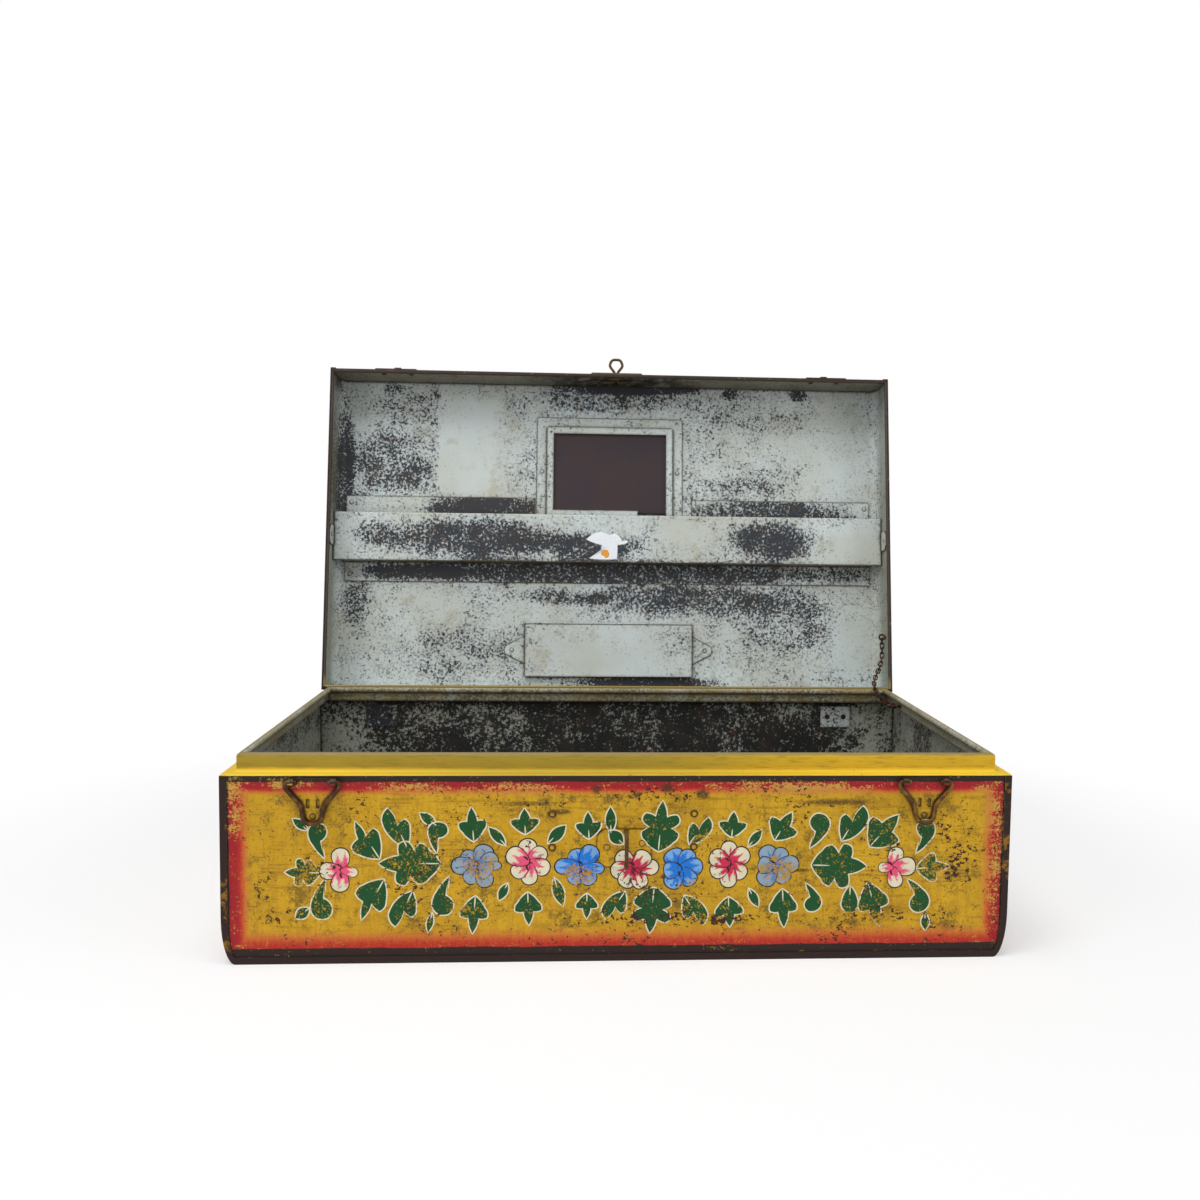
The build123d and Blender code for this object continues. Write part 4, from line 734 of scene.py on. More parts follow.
@dataclass(frozen=True)
class BrushPaint:
    """Paint of the flowers and leaves, read from each mark's own pigment and worn like the ground."""

    wear: float
    chips: tuple[Spot, ...] = ()
    lid: bool = False

    def material(self, name: str) -> bpy.types.Material:
        """Builds the brushwork."""
        recipe = Recipe(name)
        pigment = recipe.pigment("Color")
        fine = recipe.noise(1.3, 3.0, 0.75, shift=77.0)
        patch = recipe.noise(7.0, 5.0, 0.7, shift=83.0)
        up = recipe.lid_up if self.lid else recipe.z
        bare = fine * 0.7 + patch * 0.5 + self.wear + recipe.pigment("Alpha")
        if self.chips:
            bare = bare + recipe.spots(recipe.x, up, self.chips)
        colour = recipe.coats(
            pigment,
            (patch.rise(0.35, 0.65, 0.3), recipe.mix(0.4, pigment, SOOT)),
            (bare.rise(0.74, 0.80, 0.92), recipe.mix(fine.rise(0.4, 0.6), OCHRE_DEEP, OCHRE)),
            (weathered(recipe, recipe.x, up, BAND_CHIPS), CHIP_BROWN),
        )
        return recipe.finish(colour, 0.42 + fine * 0.2, 0.0, fine, 0.0001, 0.3)


@dataclass(frozen=True)
class PaperScrap:
    """Torn paper that stuck to the pocket."""

    def material(self, name: str) -> bpy.types.Material:
        """Builds the paper."""
        recipe = Recipe(name)
        fibre = recipe.noise(2.0, 4.0, 0.7)
        colour = recipe.mix(fibre.rise(0.45, 0.75, 0.25), recipe.pigment("Color"), paint(188, 190, 190))
        return recipe.finish(colour, 0.8, 0.0, fibre, 0.0001, 0.4)


# ================================================================ painted marks
def front_relief(x: Array, z: Array) -> Array:
    """How far the lock plate and the two catch plates stand out of the front, in millimetres."""
    lock_x = np.abs(x - 0.5)
    lock = (lock_x < 15.9) & (z > 55.6) & (z < 78.4) & (lock_x - (z - 56.0) < 11.5)
    ear = (np.abs(x + 6.3) < 2.5) & (z > 76.0) & (z < 83.8)
    catch_x = np.abs(np.abs(x) - 176.5)
    foot = (catch_x < 5.3) & (z > 80.6) & (z < 108.2)
    wing = (catch_x < 5.3 + (z - 86.0) * 0.55) & (z >= 86.0) & (z < 108.2)
    return np.where(lock | ear, 0.92, np.where(foot | wing, 0.82, 0.0))


def end_relief(x: Array, z: Array) -> Array:
    """How far the end walls curve in towards the underside, as a quarter of an oval 8 wide and 27 high."""
    low = np.clip((27.0 - z) / 27.0, 0.0, 1.0)
    return -8.0 * (1.0 - np.sqrt(1.0 - low**2)) + 0.0 * x


def bend(start: Array, middle: Array, end: Array, t: Array) -> Array:
    """Curve pulled to a middle point: (1 - t) squared, 2 t (1 - t) and t squared of the three points."""
    return (1 - t) ** 2 * start + 2 * t * (1 - t) * middle + t**2 * end


def triangles(quads: Array) -> Array:
    """Splits four-cornered faces into three-cornered ones."""
    return np.vstack([quads[:, [0, 1, 2]], quads[:, [0, 2, 3]]])


@dataclass(frozen=True)
class Canvas:
    """A flat face to paint on: a point on it, its two directions and the way it faces."""

    origin: Point
    across: Point
    up: Point
    out: Point
    relief: Callable[[Array, Array], Array] | None = None

    def points(self, x: Array, z: Array, level: "Array | float") -> Array:
        """Place of face coordinates: origin plus x across, z up and the level outwards, in metres."""
        rise = level + (self.relief(x, z) if self.relief else 0.0)
        flat = np.asarray(self.origin) + x[..., None] * np.asarray(self.across)
        flat = flat + z[..., None] * np.asarray(self.up)
        return (flat + np.asarray(rise)[..., None] * np.asarray(self.out)) * MM


@dataclass
class PaintFilm:
    """Brush marks on one face, gathered into one mesh of thin closed films."""

    name: str
    canvas: Canvas
    points: list[Array] = field(default_factory=list)
    colours: list[Array] = field(default_factory=list)
    faces: list[Array] = field(default_factory=list)
    count: int = 0

    def rings(self) -> Array:
        """Shares of the way out at which a film has a ring of points; more where it drapes over plates."""
        return np.linspace(0.0, 1.0, DRAPED_RINGS if self.canvas.relief is front_relief else FLAT_RINGS)

    @staticmethod
    def dome(rows: int, turns: int, start: int, flipped: bool) -> Array:
        """Triangles of a fan round a middle point and of the rings beyond it.

        Args:
            rows: the middle point and the rings round it, counted together.
            turns: points on a ring.
            start: number of the middle point.
            flipped: whether the triangles face the other way.

        Returns:
            Three point numbers for each triangle.
        """
        near = np.arange(turns)
        far = (near + 1) % turns
        inner = start + 1 + turns * np.arange(rows - 2)[:, None]
        quads = np.stack([inner + near, inner + near + turns, inner + far + turns, inner + far], -1)
        fan = np.stack([np.full_like(near, start), start + 1 + near, start + 1 + far], 1)
        sheet = np.vstack([fan, triangles(quads.reshape(-1, 4))])
        return sheet[:, ::-1] if flipped else sheet

    def film(self, x: Array, z: Array, level: float, tint: Array, wear: float = 0.0) -> None:
        """Adds one closed film: a middle point and rings in front, a skirt, and a back just inside the face.

        Over the edge of a plate the film keeps all its rings and its back follows the same steps.
        Elsewhere a dense film keeps only some of its rings, and the back is one fan.

        Args:
            x: face coordinate across of the middle and rings, as rings by turns.
            z: face coordinate up of the same points.
            level: height of the film above the face in millimetres.
            tint: colour of each point.
            wear: how much thinner than usual this paint is.
        """
        draped = self.canvas.relief is front_relief and np.ptp(front_relief(x, z)) > 0
        if self.canvas.relief is front_relief and not draped:
            keep = np.r_[0 : len(x) - 4 : THINNING, len(x) - 4 : len(x)]
            x, z, tint = x[keep], z[keep], tint[keep]
        tint = tint.copy()
        tint[..., 3] = wear
        rows, turns = x.shape
        behind = np.arange(rows) if draped else np.array([0, rows - 1])
        front = self.canvas.points(x, z, level)
        back = self.canvas.points(x[behind], z[behind], FILM_BACK)
        for store, grids in ((self.points, (front, back)), (self.colours, (tint, tint[behind]))):
            parts = [part for grid in grids for part in (grid[:1, 0], grid[1:].reshape(-1, grid.shape[-1]))]
            store.append(np.vstack(parts))
        hub = 1 + turns * (rows - 1)
        near = np.arange(turns)
        far = (near + 1) % turns
        front_edge = 1 + turns * (rows - 2)
        back_edge = hub + 1 + turns * (len(behind) - 2)
        skirt = np.stack([front_edge + near, back_edge + near, back_edge + far, front_edge + far], 1)
        domes = [self.dome(rows, turns, 0, False), self.dome(len(behind), turns, hub, True)]
        self.faces.append(np.vstack([*domes, triangles(skirt)]) + self.count)
        self.count += back_edge + turns

    def shape(
        self, corners: Array, bulge: float | Sequence[float], rim: float,
        tones: tuple[Colour, Colour], level: float, wear: float = 0.0,
    ) -> None:
        """Adds a shape with pointed corners.

        Each side is a curve from corner to corner whose middle is pulled outwards by a share of
        its length. The rim follows the edge inside at a fixed width.

        Args:
            corners: face coordinates of the corners, in turn.
            bulge: how far each side bulges, as a share of its length; below 0 it curves in.
            rim: width of the outline.
            tones: colour inside and colour of the rim.
            level: height above the face.
            wear: how thin the paint is.
        """
        ahead = np.roll(corners, -1, axis=0)
        step = ahead - corners
        area = np.sum(corners[:, 0] * ahead[:, 1] - ahead[:, 0] * corners[:, 1])
        swell = np.broadcast_to(np.asarray(bulge, float), len(corners))[:, None] * math.copysign(1.0, area)
        pull = (corners + ahead) / 2 + swell * np.stack([step[:, 1], -step[:, 0]], 1)
        t = np.linspace(0, 1, SIDE_POINTS, endpoint=False)[None, :, None]
        edge = bend(corners[:, None], pull[:, None], ahead[:, None], t).reshape(-1, 2)
        if area < 0:
            edge = edge[::-1]
        slope = np.roll(edge, -1, axis=0) - np.roll(edge, 1, axis=0)
        slope /= np.linalg.norm(slope, axis=1, keepdims=True)
        middle = edge.mean(axis=0)
        spoke = edge - middle
        reach = np.linalg.norm(spoke, axis=1)
        square = np.abs(spoke[:, 0] * slope[:, 1] - spoke[:, 1] * slope[:, 0]) / reach
        inner = middle + np.maximum(1 - rim / (reach * np.maximum(square, 0.45)), 0.2)[:, None] * spoke
        shares = self.rings()[:, None, None]
        rims = np.stack([inner + share * (edge - inner) for share in (0.05, 0.5, 1.0)])
        points = np.concatenate([middle + shares * (inner - middle), rims])
        tint = np.broadcast_to(np.asarray(tones[0]), points.shape[:2] + (4,)).copy()
        tint[-len(rims) :] = tones[1]
        self.film(points[..., 0], points[..., 1], level, tint, wear)

    def stroke(
        self, path: Sequence[Array], widths: tuple[float, float], rim: float,
        shade: Shade, level: float, wear: float = 0.0,
    ) -> None:
        """Adds one brush stroke: a disc laid along a curved line.

        A disc point (u, v) goes to the line at (u + 1) / 2, moved sideways by v times the half width there.

        Args:
            path: start, bend and end of the line.
            widths: half width at the start and at the end.
            rim: width of the outline, as a share of the half width.
            shade: colour from u, v and the distance from the middle.
            level: height above the face.
            wear: how thin the paint is.
        """
        turn = np.linspace(0, 2 * math.pi, STROKE_TURNS, endpoint=False)
        inner = 1.0 - rim
        radii = np.concatenate([self.rings() * inner, [inner + 0.02, 1.0]])[:, None]
        u = radii * np.cos(turn)
        v = radii * np.sin(turn)
        a, b, c = path
        t = ((u + 1) / 2)[..., None]
        line = bend(a, b, c, t)
        slope = 2 * (1 - t) * (b - a) + 2 * t * (c - b)
        slope /= np.linalg.norm(slope, axis=-1, keepdims=True)
        half = widths[0] + (widths[1] - widths[0]) * t[..., 0]
        x = line[..., 0] - slope[..., 1] * v * half
        z = line[..., 1] + slope[..., 0] * v * half
        self.film(x, z, level, shade(u, v, np.broadcast_to(radii, u.shape)), wear)

    def build(self, material: bpy.types.Material, slot: str, body: str) -> bpy.types.Object:
        """Makes the mesh, gives it its pigment and rides it on a body."""
        mesh = make_mesh(self.name, np.vstack(self.points), np.vstack(self.faces))
        pigment = mesh.attributes.new("pigment", "FLOAT_COLOR", "POINT")
        pigment.data.foreach_set("color", np.vstack(self.colours).astype(np.float32).ravel())
        mesh.validate()
        return place_piece(mesh, self.name, material, body)


def make_mesh(name: str, points: Array, faces: Array) -> bpy.types.Mesh:
    """Returns a mesh of the given points, in metres, and faces."""
    mesh = bpy.data.meshes.new(name)
    mesh.from_pydata(points.tolist(), [], faces.tolist())
    return mesh


def place_piece(
    mesh: bpy.types.Mesh, name: str, material: bpy.types.Material, body: str | None
) -> bpy.types.Object:
    """Links a mesh as a piece with its material and body."""
    piece = bpy.data.objects.new(name, mesh)
    bpy.context.scene.collection.objects.link(piece)
    mesh.materials.append(material)
    if body:
        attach(piece, body)
    log.info("piece %s: %d faces", name, len(mesh.polygons))
    return piece


def plain_tone(colour: Colour) -> Shade:
    """Colour of a stroke of one tone."""

    def shade(u: Array, v: Array, radius: Array) -> Array:
        """The same colour all over."""
        return np.broadcast_to(np.asarray(colour), u.shape + (4,))

    return shade


def petal_tone(fill: Colour, wash: Colour, reach: float, fray: float) -> Shade:
    """Colour of a petal: wash strokes from the flower's middle over the fill, and a dark outline."""

    def shade(u: Array, v: Array, radius: Array) -> Array:
        """The wash ends in rays whose length changes with the side offset."""
        rays = reach + 0.28 * np.cos(v * 8.0 + fray) + 0.14 * np.cos(v * 19.0 + 2 * fray)
        share = np.clip((rays - u) / 0.18, 0.0, 1.0)[..., None]
        tint = np.asarray(fill) * (1 - share) + np.asarray(wash) * share
        tint[radius > 0.89] = INK
        return tint

    return shade


class LeafForm(Enum):
    """Corners of the painted leaves, from the base at 0 to the tip at 1, and how far sides bulge."""

    TRILOBE = (
        (
            (0, 0), (0.30, -0.30), (0.56, -0.38), (0.61, -0.16), (1, 0), (0.61, 0.16), (0.56, 0.38),
            (0.30, 0.30),
        ),
        (0.14, 0.30, 0.20, 0.15, 0.15, 0.20, 0.30, 0.14),
    )
    PAIR = (
        (
            (0, 0), (0.40, -0.27), (0.66, -0.25), (0.60, -0.04), (1, 0), (0.64, 0.17), (0.56, 0.38),
            (0.30, 0.32),
        ),
        (0.14, 0.32, 0.18, 0.18, 0.15, 0.18, 0.30, 0.14),
    )
    SPLIT = (
        ((0, 0), (0.38, -0.22), (0.62, -0.20), (0.55, -0.02), (1, 0), (0.80, 0.22), (0.34, 0.20)),
        (0.14, 0.34, 0.16, 0.18, 0.24, 0.16, 0.16),
    )
    MAPLE = (
        (
            (0, 0), (0.20, -0.28), (0.38, -0.36), (0.46, -0.22), (0.58, -0.36), (0.74, -0.30),
            (0.70, -0.12), (1, 0), (0.70, 0.12), (0.74, 0.30), (0.58, 0.36), (0.46, 0.22), (0.38, 0.36),
            (0.20, 0.28),
        ),
        (0.14, 0.32, 0.16, 0.16, 0.32, 0.18, 0.16, 0.16, 0.18, 0.32, 0.16, 0.16, 0.32, 0.14),
    )
    BROAD = (
        (
            (0, 0), (0.18, -0.22), (0.34, -0.34), (0.42, -0.22), (0.52, -0.36), (0.68, -0.32),
            (0.68, -0.14), (1, 0), (0.72, 0.14), (0.72, 0.30), (0.56, 0.36), (0.48, 0.22), (0.36, 0.34),
            (0.18, 0.24),
        ),
        (0.14, 0.30, 0.16, 0.16, 0.30, 0.18, 0.16, 0.16, 0.18, 0.30, 0.16, 0.16, 0.30, 0.14),
    )
    SPEAR = (((0, 0), (1, 0)), 0.45)
    SPADE = (
        ((0, 0), (0.60, -0.30), (0.78, -0.22), (1, 0), (0.78, 0.22), (0.60, 0.30)),
        (0.18, 0.2, 0.1, 0.1, 0.2, 0.18),
    )
    COMMA = (
        ((0, 0), (0.48, 0.02), (0.70, -0.20), (0.96, -0.10), (0.98, 0.20), (0.74, 0.38), (0.42, 0.30)),
        (-0.10, 0.24, 0.26, 0.24, 0.26, 0.16, 0.12),
    )


class Bloom(Enum):
    """Fill and wash of the painted flowers."""

    PINK = (CREAM, PETAL_PINK)
    ROSE = (CREAM, PETAL_ROSE)
    BLUE = (paint(120, 170, 222), PETAL_BLUE)
    SLATE = (paint(138, 162, 182), paint(84, 124, 176))


# Leaves on the front: base, tip, breadth (negative when turned over), form and how thin the paint is.
LEAVES = [
    (-178.9, 77.5, -188.6, 85.0, 1.1, LeafForm.SPEAR, 0.02),
    (-138.9, 60.6, -153.4, 83.5, 1.0, LeafForm.PAIR, 0.03),
    (-123.4, 67.0, -134.8, 91.2, 1.15, LeafForm.SPLIT, 0.03),
    (-104.1, 58.1, -140.6, 58.3, 1.0, LeafForm.BROAD, 0.07),
    (-136.5, 49.6, -150.0, 24.7, -1.0, LeafForm.PAIR, 0.02),
    (-120.4, 42.6, -130.7, 20.7, -1.3, LeafForm.SPLIT, 0.02),
    (-172.2, 53.1, -193.4, 53.6, 1.1, LeafForm.BROAD, 0.05),
    (-85.8, 70.2, -87.5, 91.8, 1.0, LeafForm.TRILOBE, 0.0),
    (-67.0, 68.0, -77.9, 79.8, 0.95, LeafForm.SPEAR, 0.0),
    (-109.4, 30.1, -112.1, 17.0, 0.85, LeafForm.SPEAR, 0.07),
    (-84.8, 39.6, -86.6, 16.0, 0.92, LeafForm.TRILOBE, 0.06),
    (-66.0, 47.1, -71.8, 35.6, 1.1, LeafForm.SPEAR, 0.0),
    (-106.6, 80.0, -117.2, 88.2, 1.1, LeafForm.SPEAR, 0.03),
    (-56.4, 74.5, -57.1, 90.8, 1.4, LeafForm.TRILOBE, 0.03),
    (-54.9, 41.6, -54.0, 20.7, 1.03, LeafForm.TRILOBE, 0.0),
    (-44.1, 69.0, -32.7, 80.8, 1.1, LeafForm.SPEAR, 0.0),
    (-19.7, 71.5, -20.7, 89.0, 1.17, LeafForm.TRILOBE, 0.0),
    (-7.2, 75.0, -7.6, 91.8, 0.95, LeafForm.SPEAR, 0.0),
    (0.6, 68.8, -8.8, 77.8, 1.5, LeafForm.SPEAR, 0.0),
    (-40.0, 50.3, -34.2, 31.9, 0.9, LeafForm.SPEAR, 0.09),
    (-20.7, 40.6, -20.7, 24.2, 1.1, LeafForm.TRILOBE, 0.03),
    (1.8, 41.6, -9.8, 24.2, -1.35, LeafForm.SPLIT, 0.05),
    (20.4, 64.0, 22.8, 95.2, 1.0, LeafForm.MAPLE, 0.02),
    (37.9, 68.2, 49.8, 85.2, -1.3, LeafForm.SPLIT, 0.05),
    (18.4, 43.9, 16.0, 15.4, 1.1, LeafForm.MAPLE, 0.0),
    (35.6, 38.9, 47.4, 20.2, 1.35, LeafForm.SPLIT, 0.08),
    (63.1, 72.2, 64.3, 88.8, 1.34, LeafForm.TRILOBE, 0.0),
    (72.5, 66.5, 81.3, 77.8, 1.0, LeafForm.SPEAR, 0.0),
    (88.2, 70.5, 98.7, 88.2, 1.2, LeafForm.TRILOBE, 0.02),
    (127.7, 69.8, 140.5, 91.8, -1.3, LeafForm.SPLIT, 0.01),
    (144.4, 66.5, 162.0, 86.5, 1.1, LeafForm.TRILOBE, 0.04),
    (109.9, 56.1, 144.1, 55.1, 1.1, LeafForm.BROAD, 0.03),
    (172.4, 53.6, 193.6, 55.1, 1.1, LeafForm.TRILOBE, 0.11),
    (61.8, 37.9, 63.1, 18.7, 1.2, LeafForm.TRILOBE, 0.05),
    (73.4, 43.1, 80.0, 30.6, 1.0, LeafForm.SPEAR, 0.02),
    (93.7, 42.6, 95.1, 18.0, 0.9, LeafForm.TRILOBE, 0.02),
    (133.8, 44.6, 133.8, 24.7, 0.95, LeafForm.SPADE, 0.04),
    (144.1, 46.1, 152.1, 18.4, 0.85, LeafForm.TRILOBE, 0.05),
    (179.1, 27.2, 179.6, 15.7, 1.2, LeafForm.SPEAR, 0.08),
    (-178.4, 33.0, -187.4, 26.2, 1.5, LeafForm.SPEAR, 0.05),
    (-169.8, 60.6, -173.4, 82.6, 0.9, LeafForm.COMMA, 0.0),
    (-169.6, 50.6, -170.4, 25.4, -0.9, LeafForm.COMMA, 0.07),
    (-106.8, 63.4, -103.4, 82.4, 1.1, LeafForm.COMMA, 0.03),
    (-99.4, 51.4, -102.2, 27.2, -0.95, LeafForm.COMMA, 0.02),
    (108.6, 65.4, 114.6, 87.4, -1.0, LeafForm.COMMA, 0.03),
    (172.0, 62.0, 177.8, 83.6, -0.95, LeafForm.COMMA, 0.03),
    (107.0, 46.0, 111.4, 27.6, 1.05, LeafForm.COMMA, 0.0),
    (167.3, 48.2, 176.0, 26.8, 1.0, LeafForm.COMMA, 0.03),
]
# Flowers: place, colours and how thin the paint is, then angle, length and half width of each petal,
# in the order in which they are drawn.
FLOWERS = [
    ((-160.6, 54.4), Bloom.PINK, 0.02, (
        (95, 13.5, 5.0), (182, 13.0, 4.8),
        (262, 13.0, 5.0), (350, 9.5, 2.8),
    )),
    ((-82.6, 56.4), Bloom.SLATE, 0.06, (
        (142, 13.0, 4.6), (178, 16.5, 5.0), (232, 12.5, 4.4), (292, 13.5, 4.8),
        (72, 13.5, 5.6), (30, 12.0, 4.6), (2, 13.0, 2.6), (325, 8.0, 5.4),
    )),
    ((-54.7, 58.4), Bloom.PINK, 0.0, (
        (92, 14.5, 5.2), (38, 13.0, 4.6), (340, 13.5, 5.0),
        (275, 13.5, 4.6), (222, 12.0, 4.6), (152, 14.0, 5.4),
    )),
    ((-23.4, 55.6), Bloom.BLUE, 0.06, (
        (120, 12.0, 4.8), (178, 16.5, 4.6), (235, 12.0, 4.6),
        (300, 12.0, 4.6), (62, 14.5, 5.4), (355, 13.0, 3.2),
    )),
    ((6.8, 55.0), Bloom.ROSE, -0.02, (
        (138, 14.0, 5.0), (188, 14.5, 5.2), (238, 13.5, 5.2),
        (292, 13.5, 4.6), (2, 14.5, 4.6), (52, 12.5, 5.2),
    )),
    ((33.4, 54.4), Bloom.BLUE, 0.02, (
        (118, 13.0, 6.0), (58, 13.0, 4.6), (8, 13.5, 5.0),
        (312, 12.5, 4.8), (240, 13.5, 5.2), (190, 10.0, 5.0),
    )),
    ((62.0, 57.0), Bloom.ROSE, 0.01, (
        (92, 14.0, 4.6), (35, 14.0, 5.2), (322, 12.5, 4.8),
        (268, 14.5, 4.8), (210, 12.5, 4.8), (152, 13.0, 5.2),
    )),
    ((88.6, 55.4), Bloom.SLATE, 0.07, (
        (118, 14.0, 5.2), (62, 12.5, 4.4), (8, 15.0, 5.0),
        (312, 12.5, 4.8), (235, 13.5, 5.6), (172, 10.0, 5.0),
    )),
    ((158.6, 54.2), Bloom.PINK, 0.04, ((75, 13.0, 4.4), (5, 14.5, 5.4), (285, 12.5, 4.4), (178, 8.5, 3.0))),
]


@dataclass
class FloralBand:
    """Row of flowers and leaves painted along a face."""

    side: str
    canvas: Canvas
    reach: tuple[float, float]
    drop: float = 0.0

    def fits(self, x: float) -> bool:
        """Whether a mark at x belongs to this face's stretch of the band."""
        return self.reach[0] <= x <= self.reach[1]

    def paint_leaves(self) -> PaintFilm:
        """Returns the leaves and their pale veins."""
        film = PaintFilm(f"leaves_{self.side}", self.canvas)
        for number, (base_x, base_z, tip_x, tip_z, breadth, form, wear) in enumerate(LEAVES):
            if not (self.fits(base_x) and self.fits(tip_x)):
                continue
            corners, bulge = form.value
            base = np.array([base_x, base_z - self.drop])
            ahead = np.array([tip_x - base_x, tip_z - base_z])
            aside = np.array([-ahead[1], ahead[0]]) * breadth
            along = np.asarray(corners, float)
            outline = base + along[:, :1] * ahead + along[:, 1:] * aside
            swell = bulge * abs(breadth) if form is LeafForm.SPEAR else bulge
            level = LEAF_LEVEL + LEAF_STEP * (number % LEAF_LEVELS)
            film.shape(outline, swell, LEAF_RIM, (LEAF_GREEN, CREAM), level, wear)
            vein = [base + share * ahead for share in (0.04, 0.18, 0.34)]
            film.stroke(vein, (0.42, 0.3), 0.1, plain_tone(CREAM), VEIN_LEVEL)
        return film

    def paint_flowers(self) -> PaintFilm:
        """Returns petals, their washes and the dabs in each flower's middle."""
        film = PaintFilm(f"flowers_{self.side}", self.canvas)
        for (x, z), bloom, wear, petals in FLOWERS:
            if not self.fits(x):
                continue
            fill, wash = bloom.value
            middle = np.array([x, z - self.drop])
            for number, (angle, length, half) in enumerate(petals):
                out = heading(math.radians(angle))
                path = [middle + reach * out for reach in (-1.2, length / 2, length)]
                tone = petal_tone(fill, wash, 0.4 if bloom is Bloom.BLUE else 0.12, angle * 0.7)
                level = PETAL_LEVEL + PETAL_STEP * number
                film.stroke(path, (half * 0.75, half * 1.35), 0.11, tone, level, wear)
            for dab in range(DABS):
                turn = math.radians(30 + 360 / DABS * dab)
                out = heading(turn)
                path = [middle + 1.4 * out, middle + 3.2 * out, middle + 4.8 * heading(turn + 0.5)]
                tone = plain_tone(INK if dab % 2 else wash)
                film.stroke(path, (0.7, 0.4), 0.1, tone, DAB_LEVEL, wear)
        return film

    def build(self, green: bpy.types.Material, bloom: bpy.types.Material, body: str) -> None:
        """Paints the whole band and rides its two pieces on a body."""
        self.paint_leaves().build(green, "painted_sheet", body)
        self.paint_flowers().build(bloom, "painted_sheet", body)


def heading(turn: float) -> Array:
    """Unit step across and up a face at an angle in radians."""
    return np.array([math.cos(turn), math.sin(turn)])


# ================================================================ parts of the trunk
@dataclass
class Tub:
    """The tub: panels, collar, lock plate, catches and hinges."""

    front_reach: tuple[float, float] = (-230.0, 230.0)
    end_reach: tuple[float, float] = (-112.0, 104.0)

    def dress(self) -> None:
        """Gives the tub's CAD nodes their finishes."""
        plates = ((-180, -6, 90, 90, 0.24), (180, -6, 90, 90, 0.05))
        staple = (paint(96, 72, 38), paint(72, 46, 24), paint(176, 150, 92))
        left_wire = (paint(68, 43, 24), paint(120, 82, 32), paint(160, 130, 72))
        right_wire = (paint(76, 50, 24), paint(134, 96, 34), paint(166, 136, 72))
        finishes = {
            "tub_front_panel": SheetPaint(Design.BAND, Lining.TUB),
            "tub_wrapper": SheetPaint(Design.ENDS, Lining.TUB),
            "tub_rear_panel": SheetPaint(Design.BACK, Lining.TUB),
            "collar": SheetPaint(Design.RIM, Lining.RIM, COLLAR_MIDDLE),
            "lock_plate": PaintedFitting(),
            "lock_plate_rivets": PaintedFitting(0.15),
            "front_dome_rivets": PaintedFitting(0.30),
            "bail_plate_left": PaintedFitting(),
            "bail_plate_right": PaintedFitting(),
            "bail_plate_rivets": PaintedFitting(0.5),
            "lock_staple": DarkIron(*staple, 0.5),
            "bail_left": DarkIron(*left_wire, 0.45),
            "bail_right": DarkIron(*right_wire, 0.45),
            "collar_wires": DarkIron(),
            "hinge_tub_leaf_left": DarkIron(),
            "hinge_tub_leaf_right": DarkIron(),
            "hinge_pins": DarkIron(bright=paint(150, 140, 126)),
            "hinge_backing_plates": LidFitting(plates, 71.0),
            "tub_hinge_rivets": DarkIron(),
            "tub_chain_eye": DarkIron(rust=EYE_RUST),
        }
        dress_nodes(finishes)

    def build(self) -> None:
        """Paints the flowers on the front and on both ends."""
        leaf_chips = ((-182, 50, 16, 14, 0.07), (134, 24, 40, 6, 0.18))
        flower_chips = (
            (-82, 56, 20, 14, 0.09),
            (-26, 50, 16, 12, 0.12),
            (92, 54, 18, 12, 0.12),
            (38, 44, 12, 8, 0.10),
        )
        green = BrushPaint(0.045, leaf_chips).material("leaf_brushwork")
        bloom = BrushPaint(-0.005, flower_chips).material("flower_brushwork")
        for side, place, across, out, relief, reach in (
            ("front", (0.0, -HALF_DEPTH, 0.0), RIGHT, FORWARDS, front_relief, self.front_reach),
            ("right_end", (HALF_WIDTH, 0.0, 0.0), BACKWARDS, RIGHT, end_relief, self.end_reach),
            ("left_end", (-HALF_WIDTH, 0.0, 0.0), FORWARDS, LEFT, end_relief, self.end_reach),
        ):
            canvas = Canvas(place, across, UP, out, relief)
            FloralBand(side, canvas, reach).build(green, bloom, "tub")


